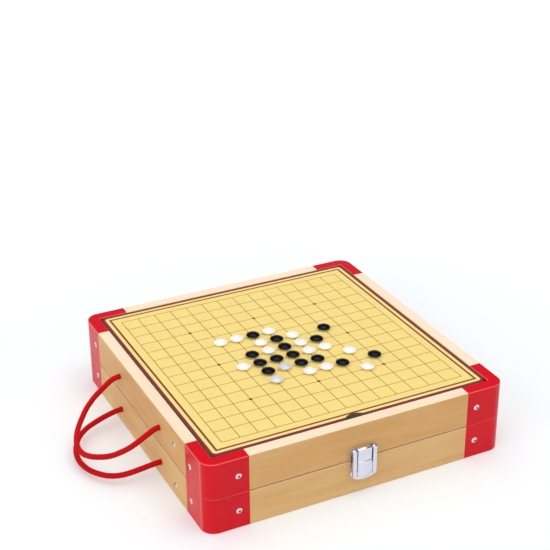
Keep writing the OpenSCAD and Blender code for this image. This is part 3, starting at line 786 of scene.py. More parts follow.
# The first part of a name that fits gives the material; ropes, boards and the lid's panel are dressed apart
finishes = [
    ("corner_screws", screwMetal), ("divider_screws", screwMetal), ("screws", nickel), ("latch_pin", nickel),
    ("_corner_", redPaint), ("wall_front", beechAlong), ("wall_back", beechAlong), ("wall_left", beechAcross),
    ("wall_right", beechAcross), ("divider_cross", dividerAcross), ("divider", dividerAlong),
    ("base_bottom", plywood), ("hinge_", hingeSteel), ("latch_", chrome), ("dice", diceBody),
    ("discs_dark", makeStained("darkDisc")), ("discs_red", makeStained("redDisc")),
    ("stones_white", whiteStone), ("stones_black", blackStone),
]
finishes += [(name, makeEnamel(name + "_paint", tint)) for name, tint in pawnTints.items()]
for name, obj in nodes.items():
    for part, material in finishes:
        if part in name:
            dress(obj, material)
            break


# Game boards and the lid's panel: a printed face, a cut edge and a plain wood back
boardSetup = {
    "half": 151 * mm, "radius": 7 * mm, "relief": 0.008 * mm, "back": ("E2CFAE", "D4BC96"),
    "cutEdge": "8A7460", "gloss": 0.12, "check": 67 * mm,
}


def boardMaterial(name, edgeColour, faceColour):
    # faceColour takes the tree, the object coordinates and the distance from the edge, and gives a colour
    material, tree, shader, seat = newMaterial(name)
    place3d = seat.outputs["Object"]
    distance = place(tree, edgeDistance, Vector=place3d, Half=boardSetup["half"],
                     Radius=boardSetup["radius"])["Distance"]
    face = faceColour(tree, place3d, distance)
    ink = place(tree, printedInk, Vector=place3d, Color=face)
    wood = woodTone(tree, place3d, boardSetup["back"], 0.4)
    side = place(tree, facing, Normal=seat.outputs["Normal"])
    plies = noise(tree, scaled(tree, place3d, (300, 300, 4000)), 1.0, 2.0)
    cutEdge = mixColour(tree, 0.5, colour(edgeColour), colour(boardSetup["cutEdge"]))
    edge = mixColour(tree, plies, colour(edgeColour), cutEdge)
    tone = mixColour(tree, side["Side"], ink["Color"], edge)
    tone = mixColour(tree, side["Down"], tone, wood["Color"])
    finish(tree, shader, ink, boardSetup["relief"], tone)
    shader.inputs["Specular IOR Level"].default_value = boardSetup["gloss"]
    return material


def banded(tree, distance, width, band, field):
    # The field, with a band of the given width round it
    return mixColour(tree, isOver(tree, distance, width), band, field)


def checks(tree, place3d, tints):
    x, y, _ = axesOf(tree, place3d)
    pitch = boardSetup["check"]
    column = calc(tree, "FLOOR", plus(tree, calc(tree, "DIVIDE", x, pitch), 0.5))
    row = calc(tree, "FLOOR", plus(tree, calc(tree, "DIVIDE", y, pitch), 0.5))
    odd = calc(tree, "FLOORED_MODULO", plus(tree, column, row), 2.0)
    return mixColour(tree, odd, colour(tints[0]), colour(tints[1]))


# Prints: flat shapes of ink laid on a board's face in thin levels, so that later ink covers earlier ink
inkLevel = 0.0115 * mm


def makeInkMaterial(name, tint):
    material, tree, shader, seat = newMaterial("ink_" + name)
    ink = place(tree, printedInk, Vector=seat.outputs["Object"], Color=colour(tint))
    finish(tree, shader, ink, 0.004 * mm)
    shader.inputs["Specular IOR Level"].default_value = boardSetup["gloss"]
    return material


inkTints = {
    "white": "FFFFFF", "black": "121012", "grey": "CCD0DA", "blue": "0488D2", "red": "D8233E",
    "green": "82CA30", "yellow": "FFC80E", "orange": "FFA82A", "purple": "88349C", "lilac": "ECDDF4",
    "cyan": "86D8F0", "crimson": "D81E44", "rust": "E2702A", "pink": "E5627C", "sun": "FFF860",
    "sunDark": "EEE23C", "amber": "FFB41C", "amberDark": "E8A02A", "leaf": "6FA052", "brown": "6A3A24",
    "planet": "8E5A4E", "teal": "2A9CA8", "sky": "DCE6F4",
}
inks = {name: makeInkMaterial(name, tint) for name, tint in inkTints.items()}


class Print:
    # One board's print while it is drawn: shapes are added to one mesh in edit mode, sizes in mm
    def __init__(self, name, node, names):
        self.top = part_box(node)[1].z
        self.names = names
        self.obj = meshObject(name, [], [])
        dress(self.obj, *[inks[n] for n in names])
        pickOnly(self.obj)
        bpy.ops.object.mode_set(mode="EDIT")

    def spot(self, x, y, level):
        return Vector((x * mm, y * mm, self.top + inkLevel * level))

    def ink(self, name):
        self.obj.active_material_index = self.names.index(name)
        bpy.ops.object.material_slot_assign()
        bpy.ops.mesh.select_all(action="DESELECT")

    def disc(self, x, y, radius, name, level, sides=20, turn=0.0):
        bpy.ops.mesh.primitive_circle_add(vertices=sides, radius=radius * mm, fill_type="NGON",
                                          location=self.spot(x, y, level), rotation=(0, 0, turn))
        self.ink(name)

    def bar(self, a, b, width, name, level):
        middle = self.spot((a[0] + b[0]) / 2, (a[1] + b[1]) / 2, level)
        run = Vector((b[0] - a[0], b[1] - a[1]))
        bpy.ops.mesh.primitive_plane_add(size=1, location=middle)
        bpy.ops.transform.resize(value=(run.length * mm, width * mm, 1), center_override=middle)
        bpy.ops.transform.rotate(value=-math.atan2(run.y, run.x), orient_axis="Z", center_override=middle)
        self.ink(name)

    def tile(self, x, y, width, depth, corner, name, level, turn=0.0):
        middle = self.spot(x, y, level)
        bpy.ops.mesh.primitive_plane_add(size=1, location=middle)
        bpy.ops.transform.resize(value=(width * mm, depth * mm, 1), center_override=middle)
        if turn:
            bpy.ops.transform.rotate(value=-turn, orient_axis="Z", center_override=middle)
        bpy.ops.mesh.bevel(offset=corner * mm, segments=4, affect="VERTICES")
        self.ink(name)

    def star(self, x, y, radius, inner, points, name, level, turn=0.0):
        bpy.ops.mesh.primitive_circle_add(vertices=points * 2, radius=radius * mm, fill_type="NGON",
                                          location=self.spot(x, y, level), rotation=(0, 0, turn))
        mesh = bmesh.from_edit_mesh(self.obj.data)
        fresh = [v for v in mesh.verts if v.select]
        for vertex in fresh[1::2]:
            vertex.co.x = x * mm + (vertex.co.x - x * mm) * inner / radius
            vertex.co.y = y * mm + (vertex.co.y - y * mm) * inner / radius
        bmesh.update_edit_mesh(self.obj.data)
        self.ink(name)

    def ribbon(self, line, widths, name, level):
        # A band along a line of points, as wide as widths says at each of them
        mesh = bmesh.from_edit_mesh(self.obj.data)
        rows = []
        for i, (point, width) in enumerate(zip(line, widths)):
            before = line[max(i - 1, 0)]
            after = line[min(i + 1, len(line) - 1)]
            run = Vector((after[0] - before[0], after[1] - before[1])).normalized()
            across = Vector((-run.y, run.x)) * width / 2
            rows.append([mesh.verts.new(self.spot(point[0] + s * across.x, point[1] + s * across.y, level))
                         for s in (-1, 1)])
        slot = self.names.index(name)
        for low, high in zip(rows, rows[1:]):
            face = mesh.faces.new((low[0], high[0], high[1], low[1]))
            face.material_index = slot
        bmesh.update_edit_mesh(self.obj.data)
        bpy.ops.mesh.select_all(action="DESELECT")

    def finish(self, body, slot, words=()):
        # words are (text, x, y, size, ink, level, turn)
        bpy.ops.object.mode_set(mode="OBJECT")
        extras = []
        for text, x, y, size, name, level, turn in words:
            bpy.ops.object.text_add(location=self.spot(x, y, level), rotation=(0, 0, turn))
            label = bpy.context.object
            label.data.body = text
            label.data.size = size * mm
            label.data.align_x = "CENTER"
            label.data.align_y = "CENTER"
            label.data.resolution_u = 3
            bpy.ops.object.convert(target="MESH")
            dress(label, inks[name])
            extras.append(label)
        pickOnly(self.obj, *extras)
        if extras:
            bpy.ops.object.join()
        bpy.ops.object.mode_set(mode="EDIT")
        bpy.ops.mesh.select_all(action="SELECT")
        bpy.ops.mesh.remove_doubles(threshold=0.001 * mm)
        bpy.ops.mesh.normals_make_consistent(inside=False)
        bpy.ops.object.mode_set(mode="OBJECT")
        flipFaces(self.obj)
        thick = self.obj.modifiers.new("thick", "SOLIDIFY")
        thick.thickness = inkLevel * 0.75
        thick.offset = -1
        bpy.ops.object.modifier_apply(modifier="thick")
        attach(self.obj, body)
        print(self.obj.name, len(self.obj.data.polygons), "faces")


def flipFaces(obj):
    # Every printed face looks up
    mesh = bmesh.new()
    mesh.from_mesh(obj.data)
    for face in mesh.faces:
        if face.normal.z < 0:
            face.normal_flip()
    mesh.to_mesh(obj.data)
    mesh.free()


def turned(point, angle):
    c, s = math.cos(angle), math.sin(angle)
    return Vector((point[0] * c - point[1] * s, point[0] * s + point[1] * c))


# Top board: a line grid, all of it in the face's own material
gridSetup = {
    "pitch": 19 * mm, "half": 133 * mm, "line": 0.75 * mm, "dot": 1.8 * mm,
    "field": "F2D885", "ink": "8C6C2E", "dotInk": "7A2E24", "edge": "5A4A55",
    # How far in each band round the field starts, and its colour
    "bands": ((0.0, "7B3A32"), (3.3 * mm, "FBD792"), (6.9 * mm, "7E4C2A")), "fieldFrom": 9.3 * mm,
}


def gridFace(tree, place3d, distance):
    # Line grid of fifteen by fifteen with nine marked crossings and three bands round it
    setup = gridSetup
    x, y, _ = axesOf(tree, place3d)
    nearX = calc(tree, "PINGPONG", x, setup["pitch"] / 2)
    nearY = calc(tree, "PINGPONG", y, setup["pitch"] / 2)
    reach = greater(tree, unsigned(tree, x), unsigned(tree, y))
    line = isUnder(tree, lesser(tree, nearX, nearY), setup["line"] / 2)
    line = times(tree, line, isUnder(tree, reach, setup["half"] + setup["line"] / 2))
    spread = radial(tree, *[calc(tree, "PINGPONG", way, setup["pitch"] * 2) for way in (x, y)])
    dot = times(tree, isUnder(tree, spread, setup["dot"]), isUnder(tree, reach, setup["pitch"] * 5))
    field = mixColour(tree, line, colour(setup["field"]), colour(setup["ink"]))
    field = mixColour(tree, dot, field, colour(setup["dotInk"]))
    tone = colour(setup["bands"][0][1])
    for start, tint in setup["bands"][1:]:
        tone = banded(tree, distance, start, tone, colour(tint))
    return banded(tree, distance, setup["fieldFrom"], tone, field)


dress(nodes["board_grid"], boardMaterial("gridBoard", gridSetup["edge"], gridFace))


# Second board: a six-pointed star
starSetup = {
    "field": ("FFCC00", "FFE47A"), "edge": "6A5640",
    "spacing": 19.7, "dot": 4.3, "line": 1.5, "margin": 3.6,
    "arms": ("green", "purple", "red", "teal", "blue", "orange"),
}


def starFace(tree, place3d, distance):
    return checks(tree, place3d, starSetup["field"])


def printStar():
    # Six-pointed star of 121 dots in three sets of parallel rows
    setup = starSetup
    gap = setup["spacing"]
    step = gap * math.sqrt(3) / 2
    art = Print("print_star", "board_star", ["grey", "black"] + list(setup["arms"]))
    for i, name in enumerate(setup["arms"]):
        angle = math.radians(-90 + 60 * i)
        middle = turned((4 * step * 4 / 3, 0), angle)
        art.disc(*middle, 4 * gap / math.sqrt(3) + 2 * setup["margin"], name, 1, 3, angle - quarter)
    art.disc(0, 0, 4 * gap + setup["margin"] * 2 / math.sqrt(3), "grey", 2, 6, math.radians(30))
    rows = (9, 10, 11, 12, 13, 4, 3, 2, 1)  # dots in each row, from the middle outwards
    for turn in (0, 60, 120):
        for row in range(-7, 8):
            half = (rows[abs(row)] - 1) / 2 * gap
            a = turned((-half, row * step), math.radians(turn))
            b = turned((half, row * step), math.radians(turn))
            art.bar(a, b, setup["line"], "black", 3)
    for row in range(-8, 9):
        count = rows[abs(row)]
        for k in range(count):
            art.disc((k - (count - 1) / 2) * gap, row * step, setup["dot"], "black", 4, 14)
    art.finish("board_star", "board_star")


dress(nodes["board_star"], boardMaterial("starBoard", starSetup["edge"], starFace))
printStar()


# Third board: a race round the board to the middle
ludoSetup = {
    "field": ("88D4DA", "CAF2F6"), "band": ("14B0A8", "A6E4E4"), "bandWidth": 6.5 * mm, "edge": "2E7E78",
    "tile": 16.5, "hole": 5.3, "wedge": 15.6, "corner": 3.4, "digits": 6.5,
    "home": (56, 50, 7), "homeAt": 113.5, "nest": (12.2, 11.956), "nestRadius": 9.4, "nestStar": (5.6, 2.6),
    "turns": ("blue", "yellow", "red", "green"),
    "walk": ((-66, -79), (-66, -100), (-66, -121), (-44, -121), (-22, -121), (0, -121),
             (22, -121), (44, -121), (66, -121), (66, -100), (66, -79)),
    "dash": 6.0, "dashStep": 10.5, "dashRow": -66, "middle": 21, "middleWedge": (9.2, 9.8),
}


def ludoFace(tree, place3d, distance):
    field = checks(tree, place3d, ludoSetup["field"])
    band = checks(tree, place3d, ludoSetup["band"])
    return banded(tree, distance, ludoSetup["bandWidth"], band, field)


def printLudo():
    # Ring of tiles in four colours, a numbered lane from each side and a home in each corner
    setup = ludoSetup
    art = Print("print_ludo", "board_ludo", ["white", "blue", "yellow", "red", "green", "teal"])
    words = []
    walk = setup["walk"]
    for side, name in enumerate(setup["turns"]):
        angle = side * quarter
        for k, spot in enumerate(walk):
            x, y = turned(spot, angle)
            paint = setup["turns"][(side * len(walk) + k + side) % 4]
            if k == 5:
                paint = name
            if k in (0, 10):
                lean = angle + (math.radians(45) if k == 0 else math.radians(-45))
                art.disc(x, y, setup["wedge"], paint, 1, 3, lean + math.pi * (k == 0))
            else:
                art.tile(x, y, setup["tile"], setup["tile"], setup["corner"], paint, 1)
            art.disc(x, y, setup["hole"], "white", 2, 18)
        words.append(("1", *turned((0, -121), angle), setup["digits"], name, 3, angle))
        for k in range(4):
            x, y = turned((0, -99 + 22 * k), angle)
            art.tile(x, y, setup["tile"], setup["tile"], setup["corner"], name, 1)
            art.disc(x, y, setup["hole"], "white", 2, 18)
            words.append((str(k + 2), x, y, setup["digits"], name, 3, angle))
        homeX, homeY = turned((-setup["homeAt"], -setup["homeAt"]), angle)
        art.tile(homeX, homeY, *setup["home"], name, 1)
        for dx in (-1, 1):
            for dy in (-1, 1):
                x, y = homeX + dx * setup["nest"][0], homeY + dy * setup["nest"][1]
                art.disc(x, y, setup["nestRadius"], "white", 2, 32)
                art.star(x, y, *setup["nestStar"], 6, name, 3)
        # A dashed way with an arrow leads across the lane
        guide = setup["turns"][(side + 2) % 4]
        for k in range(9):
            if k != 4:
                start = -45 + setup["dashStep"] * k
                art.bar(turned((start, setup["dashRow"]), angle),
                        turned((start + setup["dash"], setup["dashRow"]), angle), 1.1, guide, 1)
        art.disc(*turned((-50, setup["dashRow"]), angle), 3.4, guide, 1, 3, angle + quarter)
    art.disc(0, 0, setup["middle"], "white", 1, 48)
    off, reach = setup["middleWedge"]
    for side, name in enumerate(setup["turns"]):
        art.disc(*turned((0, -off), side * quarter), reach, name, 2, 3, side * quarter)
    art.finish("board_ludo", "board_ludo", words)


dress(nodes["board_ludo"], boardMaterial("ludoBoard", ludoSetup["edge"], ludoFace))
printLudo()


# Fourth board: ladders and snakes
laddersSetup = {
    "field": ("B26DB8", "A261AC"), "edge": "6E5A66",
    "pitch": 27.4, "cell": 23.2, "corner": 2.6,
    "ladders": ((4, 25), (11, 31), (18, 41), (44, 66), (57, 78), (70, 91)),
    "snakes": ((97, 61, "pink"), (88, 69, "green"), (75, 53, "teal"), (47, 23, "amber"), (33, 9, "pink"),
               (27, 5, "teal")),
    "leaves": ((13, "teal"), (20, "pink"), (15, "teal"), (36, "teal"), (39, "pink"), (52, "teal"),
               (60, "pink"), (72, "teal"), (82, "pink"), (86, "teal"), (94, "pink")),
    "gauge": 6.0, "rail": 2.2, "rung": 1.6, "rungStep": 7, "foot": 1.6,
    "digits": 9.0, "digitsAt": (-5.6, 6.2), "hundredAt": (-3.2, 6.2),
    "sway": 8, "snake": 7.2, "snakeTip": 0.6, "head": 4.6, "stripe": 0.8,
}


def cellCentre(number):
    row, column = divmod(number - 1, 10)
    if row % 2:
        column = 9 - column
    pitch = laddersSetup["pitch"]
    return ((column - 4.5) * pitch, (row - 4.5) * pitch)


def laddersFace(tree, place3d, distance):
    low, high = laddersSetup["field"]
    cloud = noise(tree, place3d, 14.0, 2.0)
    return mixColour(tree, between(tree, cloud, 0.35, 0.65), colour(low), colour(high))


def printLadders():
    # Hundred numbered cells with ladders and plain wavy snakes
    setup = laddersSetup
    art = Print("print_ladders", "board_ladders",
                ["lilac", "orange", "cyan", "crimson", "white", "rust", "pink", "amber", "green", "teal"])
    feet = {n for pair in setup["ladders"] for n in pair}
    ends = {n for snake in setup["snakes"] for n in snake[:2]}
    words = []
    for number in range(1, 101):
        x, y = cellCentre(number)
        paint = "lilac"
        if number in feet:
            paint = "orange"
        if number in ends:
            paint = "cyan"
        if number in (1, 100):
            paint = "crimson"
        art.tile(x, y, setup["cell"], setup["cell"], setup["corner"], paint, 1)
        dx, dy = setup["digitsAt"] if number < 100 else setup["hundredAt"]
        words.append((str(number), x + dx, y + dy, setup["digits"], "white", 2, 0))
    x, y = cellCentre(100)
    art.star(x + 1, y - 4, 6.2, 2.7, 5, "white", 2)
    x, y = cellCentre(1)
    art.tile(x - 2, y - 4, 11, 4.6, 0.8, "white", 2)
    art.disc(x + 5.4, y - 4, 5.2, "white", 2, 3, -quarter)
    for number, paint in setup["leaves"]:
        x, y = cellCentre(number)
        art.tile(x + 2.6, y - 4.4, 5.2, 3.0, 1.2, paint, 2, 0.5)
        art.bar((x - 3.6, y - 7.6), (x + 2, y - 4.6), 0.8, paint, 3)
    for low, high in setup["ladders"]:
        a, b = Vector(cellCentre(low)), Vector(cellCentre(high))
        run = (b - a).normalized()
        across = Vector((-run.y, run.x)) * setup["gauge"]
        for s in (-1, 1):
            art.bar(a + s * across, b + s * across, setup["rail"], "rust", 4)
            for end in (a, b):
                art.disc(*(end + s * across), setup["foot"], "crimson", 5, 12)
        count = int((b - a).length / setup["rungStep"])
        for k in range(1, count):
            p = a.lerp(b, k / count)
            art.bar(p - across, p + across, setup["rung"], "rust", 3)
    for head, tail, paint in setup["snakes"]:
        # Each winds one and a half times, and both its sway and its width fade towards the tail
        a, b = Vector(cellCentre(head)), Vector(cellCentre(tail))
        run = b - a
        across = Vector((-run.y, run.x)).normalized()
        line, widths = [], []
        for k in range(41):
            t = k / 40
            sway = math.sin(t * math.pi * 3) * setup["sway"] * (1 - 0.4 * t)
            line.append(a + run * t + across * sway)
            widths.append(setup["snake"] * (1 - t) ** 0.6 + setup["snakeTip"])
        art.ribbon(line, widths, paint, 5)
        art.disc(*line[0], setup["head"], paint, 6, 18)
        for k in range(4, 36, 3):
            way = (line[k + 1] - line[k - 1]).normalized()
            edge = Vector((-way.y, way.x)) * widths[k] * 0.42
            art.bar(line[k] - edge, line[k] + edge, setup["stripe"], "white", 6)
    art.finish("board_ladders", "board_ladders", words)


dress(nodes["board_ladders"], boardMaterial("laddersBoard", laddersSetup["edge"], laddersFace))
printLadders()


# Lowest board: star maps on a night sky
spaceSetup = {
    "field": ("4B4C83", "626097"), "band": "040E44", "bandWidth": 8 * mm, "dust": "D8DCEC", "edge": "2A2C48",
    "seed": 11,
    "left": [(-122, -96), (-118, -46), (-126, 10), (-84, -118), (-70, -62), (-30, -96), (-52, 0), (-96, 62),
             (-20, -40), (-40, 84)],
    "leftLinks": [(0, 1), (1, 2), (0, 3), (3, 5), (4, 5), (1, 4), (0, 4), (4, 8), (5, 8), (2, 6),
                  (6, 8), (2, 7), (7, 9), (6, 9)],
    "right": [(24, -112), (112, -72), (66, -30), (96, 30), (30, 30), (70, 96)],
    "rightLinks": [(0, 1), (0, 2), (1, 2), (1, 3), (2, 4), (3, 4), (3, 5), (4, 5), (0, 4)],
    "leftDot": (8.4, 1.3), "rightDot": (5.6, 1.0), "link": 1.0,
    "sparks": ((-58, -128, 6, "pink"), (-98, -20, 7, "leaf"), (-136, 44, 8, "leaf"), (6, 70, 7, "leaf"),
               (8, -70, 5, "pink"), (124, 118, 6, "pink")),
    "ringsAt": (74, -88), "planet": (116, -116), "planetSize": 17, "planetLean": 0.4,
    "planetBands": ((-10, 3.0, "rust"), (-3, 2.2, "amberDark"), (3, 4.2, "rust"), (10.5, 2.4, "amberDark")),
}


def spaceFace(tree, place3d, distance):
    # Night sky with fine dust and a darker band round it
    cloud = noise(tree, place3d, 11.0, 4.0, 0.55, 0.4)
    low, high = spaceSetup["field"]
    field = mixColour(tree, between(tree, cloud, 0.35, 0.7), colour(low), colour(high))
    dust = put(tree, "ShaderNodeTexVoronoi", feature="F1", voronoi_dimensions="2D")
    feed(tree, dust.inputs["Vector"], place3d)
    dust.inputs["Scale"].default_value = 120.0
    speck = isUnder(tree, dust.outputs["Distance"], 0.045)
    tone = banded(tree, distance, spaceSetup["bandWidth"], colour(spaceSetup["band"]), field)
    return mixColour(tree, times(tree, speck, 0.75), tone, colour(spaceSetup["dust"]))


def onRing(centre, radius, angle, flat=1.0, lean=0.0):
    # A point on a circle, or on an ellipse that is flatter and leans
    point = (radius * math.cos(angle), radius * flat * math.sin(angle))
    return turned(point, lean) + Vector(centre)


def printSpace():
    # Two star maps, one yellow and one amber, over a scatter of small stars and rings
    setup = spaceSetup
    pick = random.Random(setup["seed"])
    art = Print("print_space", "board_space",
                ["white", "sun", "sunDark", "amber", "amberDark", "leaf", "pink", "planet", "rust", "sky"])
    taken = []
    for _ in range(240):
        x, y = pick.uniform(-148, 148), pick.uniform(-142, 148)
        size = pick.choice((0.35, 0.45, 0.6, 0.6, 0.8, 1.2))
        paint = pick.choice(("white", "sky", "white", "leaf"))
        if all(math.hypot(x - u, y - v) > 2.6 for u, v in taken):
            taken.append((x, y))
            art.disc(x, y, size, paint, 1, 7)
    for ring in range(6):
        radius = 24 + ring * 9
        start = pick.uniform(0.0, 0.5)
        for k in range(26):
            if pick.random() < 0.7:
                angle = math.radians(150 + start * 20 + k * 4.2)
                p, q = [onRing(setup["ringsAt"], radius, angle + wide) for wide in (0, math.radians(2.6))]
                art.bar(p, q, 0.45, "sky", 2)
    for which, bright, dark in (("left", "sun", "sunDark"), ("right", "amber", "amberDark")):
        spots = setup[which]
        radius, rim = setup[which + "Dot"]
        for i, j in setup[which + "Links"]:
            art.bar(spots[i], spots[j], setup["link"], dark, 3)
        for x, y in spots:
            art.disc(x, y, radius + rim, "white", 4, 36)
            art.disc(x, y, radius, bright, 5, 36)
    for x, y, size, paint in setup["sparks"]:
        art.star(x, y, size, size * 0.42, 4, paint, 1.5, pick.uniform(0, 1))
    # A banded planet with a ring of small dashes round it
    centre, size, lean = setup["planet"], setup["planetSize"], setup["planetLean"]
    art.disc(*centre, size, "planet", 2.5, 44)
    for off, wide, paint in setup["planetBands"]:
        reach = math.sqrt((size - 1.0) ** 2 - (abs(off) + wide / 2) ** 2)
        p, q = [turned((x, off), lean) + Vector(centre) for x in (-reach, reach)]
        art.bar(p, q, wide, paint, 3.5)
    for k in range(30):
        p, q = [onRing(centre, size * 1.55, math.radians(12 * k + part), 0.5 / 1.55, lean) for part in (0, 8)]
        art.bar(p, q, 1.1, "pink", 4.5)
    art.finish("board_space", "board_space")


dress(nodes["board_space"], boardMaterial("spaceBoard", spaceSetup["edge"], spaceFace))
printSpace()


# Fixed panel under the boards
panelSetup = {
    "field": ("F8E6C6", "EED6AE"), "strip": "DDB48C", "stripWidth": 4.6 * mm, "edge": "C9A473",
    "stepX": 32.0, "stepY": 34.7, "line": 1.1, "border": 147.2, "mark": 5.2, "markGap": 1.8,
}


def panelFace(tree, place3d, distance):
    # Tan field with a darker strip along the walls
    streak = noise(tree, scaled(tree, place3d, (8, 60, 60)), 1.0, 4.0, 0.55, 0.5)
    low, high = panelSetup["field"]
    field = mixColour(tree, between(tree, streak, 0.3, 0.7), colour(low), colour(high))
    return banded(tree, distance, panelSetup["stripWidth"], colour(panelSetup["strip"]), field)


def printPanel():
    # Grid of ten by nine lines with an open band in the middle, two crossed squares and small corner marks
    setup = panelSetup
    sx, sy, wide = setup["stepX"], setup["stepY"], setup["line"]
    endX, endY = 4.5 * sx, 4 * sy
    art = Print("print_panel", "lid_panel", ["brown"])
    for i in range(10):
        x = (i - 4.5) * sx
        art.bar((x, -endY), (x, endY), wide, "brown", 1.5)
    for j in range(9):
        y = (j - 4) * sy
        if abs(j - 4) == 4:
            art.bar((-endX, y), (endX, y), wide, "brown", 1)
        else:
            for s in (-1, 1):
                art.bar((s * endX, y), (s * sx / 2, y), wide, "brown", 1)
    for s in (-1, 1):
        for t in (-1, 1):
            art.bar((s * endX, -t * sy), (s * 2.5 * sx, t * sy), wide, "brown", 2 + t / 4)
        edge = setup["border"]
        art.bar((s * edge, -edge), (s * edge, edge), wide, "brown", 1.5)
        art.bar((-edge, s * edge), (edge, s * edge), wide, "brown", 1)
    spots = [(s * 2.5 * sx, t * 3 * sy) for s in (-1, 1) for t in (-1, 1)]
    spots += [(s * 1.5 * sx, j * sy) for s in (-1, 1) for j in (-4, -2, 0, 2, 4)]
    gap, leg = setup["markGap"], setup["mark"]
    for x, y in spots:
        for dx in (-1, 1):
            for dy in (-1, 1):
                if abs(y + dy) > endY:
                    continue
                corner = (x + dx * gap, y + dy * gap)
                art.bar(corner, (x + dx * (gap + leg), y + dy * gap), wide, "brown", 2)
                art.bar(corner, (x + dx * gap, y + dy * (gap + leg)), wide, "brown", 2.5)
    art.finish("lid", "grid_panel")


dress(nodes["lid_panel"], boardMaterial("linePanel", panelSetup["edge"], panelFace))
printPanel()
print("prints made")


# Latch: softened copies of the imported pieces, so that their edges catch the light
latchSetup = {"bevel": 0.14 * mm, "segments": 2, "merge": 0.002 * mm, "flat": 1.5, "sharp": 40, "smooth": 35}


def soften(node, body):
    copy = nodes[node].copy()
    copy.data = nodes[node].data.copy()
    copy.name = node + "_finished"
    bpy.context.scene.collection.objects.link(copy)
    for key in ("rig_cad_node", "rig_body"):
        if key in copy:
            del copy[key]
    copy.parent = None
    copy.matrix_world = Matrix.Identity(4)
    copy.hide_render = False
    pickOnly(copy)
    bpy.ops.object.mode_set(mode="EDIT")
    bpy.ops.mesh.select_all(action="SELECT")
    bpy.ops.mesh.customdata_custom_splitnormals_clear()
    bpy.ops.mesh.remove_doubles(threshold=latchSetup["merge"])
    bpy.ops.mesh.dissolve_limited(angle_limit=math.radians(latchSetup["flat"]))
    bpy.ops.object.mode_set(mode="OBJECT")
    edge = copy.modifiers.new("edge", "BEVEL")
    edge.width = latchSetup["bevel"]
    edge.segments = latchSetup["segments"]
    edge.limit_method = "ANGLE"
    edge.angle_limit = math.radians(latchSetup["sharp"])
    edge.use_clamp_overlap = True
    bpy.ops.object.modifier_apply(modifier="edge")
    smooth(copy, latchSetup["smooth"])
    dress(copy, chrome)
    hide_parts(node)
    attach(copy, body)


for node, body in (("latch_lever", "latch_lever"), ("latch_plate", "base"), ("latch_catch", "lid"),
                   ("latch_link", "latch_link")):
    soften(node, body)
print("latch finished")


# Floor, world and lamps
stageSetup = {
    "floorSize": 9.0, "floorLevel": -0.0001, "floor": "F1F0EE", "floorNear": "EEF2F5", "tooth": "E8E8E8",
    "floorLift": 0.05, "sky": 0.66, "ceiling": 0.03, "softBox": 1.5, "aim": (0, 0, 0.05),
    "lamps": {
        # place, size across, power, seen in reflections, casts shadows
        "lampOver": ((0.05, -0.1, 2.6), (2.4, 2.4), 17.8, False, False),
        "lampTop": ((0.5, -0.6, 2.2), (0.8, 0.8), 4.0, False, True),
        "lampLeft": ((-2.2, -1.1, 1.3), (1.6, 1.6), 15.0, False, True),
        "lampStreak": ((0.25, 0.5, 2.2), (1.9, 0.22), 6.0, True, False),
    },
}


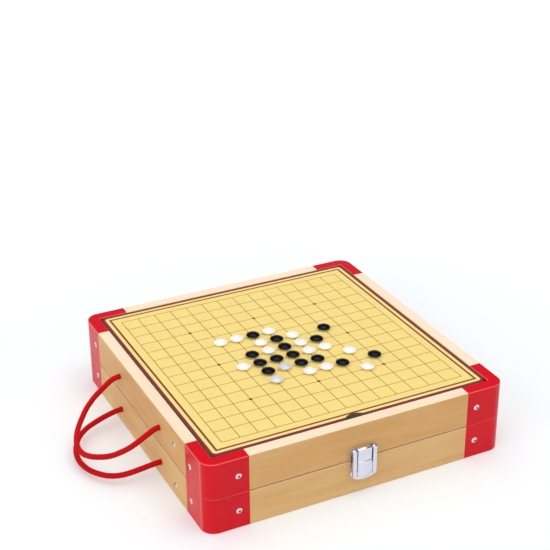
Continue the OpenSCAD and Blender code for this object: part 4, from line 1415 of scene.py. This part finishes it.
def makeFloor(setup):
    pickOnly()
    bpy.ops.mesh.primitive_plane_add(size=setup["floorSize"], location=(0, 0, setup["floorLevel"]))
    floor = bpy.context.object
    floor.name = "floor"
    material, tree, shader, seat = newMaterial("floorPaper")
    tooth = noise(tree, seat.outputs["Object"], 900.0, 2.0)
    seen = put(tree, "ShaderNodeLightPath").outputs["Is Camera Ray"]
    paper = mixColour(tree, seen, colour(setup["floor"]), colour(setup["floorNear"]))
    paper = mixColour(tree, times(tree, tooth, 0.02), paper, colour(setup["tooth"]))
    feed(tree, shader.inputs["Base Color"], paper)
    # The camera sees the paper a little lifted, and more so further off, so that it ends in plain white
    away = put(tree, "ShaderNodeVectorMath", operation="LENGTH")
    feed(tree, away.inputs[0], seat.outputs["Object"])
    lift = between(tree, away.outputs["Value"], 0.3, 1.6, setup["floorLift"], 1.0)
    shader.inputs["Emission Color"].default_value = (1, 1, 1, 1)
    feed(tree, shader.inputs["Emission Strength"], times(tree, lift, seen))
    shader.inputs["Roughness"].default_value = 0.9
    shader.inputs["Specular IOR Level"].default_value = 0.1
    dress(floor, material)


def makeWorld(setup):
    world = bpy.data.worlds.new("studio")
    bpy.context.scene.world = world
    world.use_nodes = True
    tree = world.node_tree
    sky = tree.nodes["Background"]
    path = put(tree, "ShaderNodeLightPath").outputs
    ray = put(tree, "ShaderNodeTexCoord").outputs["Generated"]
    high = axesOf(tree, ray)[2]
    # Gloss sees a white wall low over the horizon, a soft box from high over the camera to straight overhead
    # and a dim ceiling elsewhere
    wall = between(tree, high, 0.22, 0.42, 1.0, setup["ceiling"])
    ahead = put(tree, "ShaderNodeVectorMath", operation="DOT_PRODUCT")
    feed(tree, ahead.inputs[0], ray)
    turn = math.radians(cameraSetup["azimuth"])
    ahead.inputs[1].default_value = (math.sin(turn), -math.cos(turn), 0)
    reach = greater(tree, between(tree, ahead.outputs["Value"], 0.2, 0.35), between(tree, high, 0.8, 0.9))
    panel = times(tree, reach, between(tree, high, 0.4, 0.5, 0.0, setup["softBox"]))
    strength = plus(tree, times(tree, path["Is Diffuse Ray"], setup["sky"]),
                    times(tree, path["Is Glossy Ray"], plus(tree, wall, panel)))
    strength = plus(tree, strength, path["Is Camera Ray"])
    strength = plus(tree, strength, path["Is Transmission Ray"])
    sky.inputs["Color"].default_value = (1, 1, 1, 1)
    feed(tree, sky.inputs["Strength"], strength)


def makeLamps(setup):
    for name, (spot, size, power, mirrored, shades) in setup["lamps"].items():
        data = bpy.data.lights.new(name, "AREA")
        data.shape = "RECTANGLE"
        data.size, data.size_y = size
        data.energy = power
        data.use_shadow = shades
        lamp = bpy.data.objects.new(name, data)
        bpy.context.scene.collection.objects.link(lamp)
        aim = Vector(setup["aim"]) - Vector(spot)
        level = Vector((0, 0, 1)).cross(aim)
        turn = Matrix((level.normalized(), level.cross(aim).normalized(), -aim.normalized())).transposed()
        lamp.matrix_world = Matrix.Translation(spot) @ turn.to_4x4()
        lamp.visible_glossy = mirrored


makeFloor(stageSetup)
makeWorld(stageSetup)
makeLamps(stageSetup)
print("stage set")
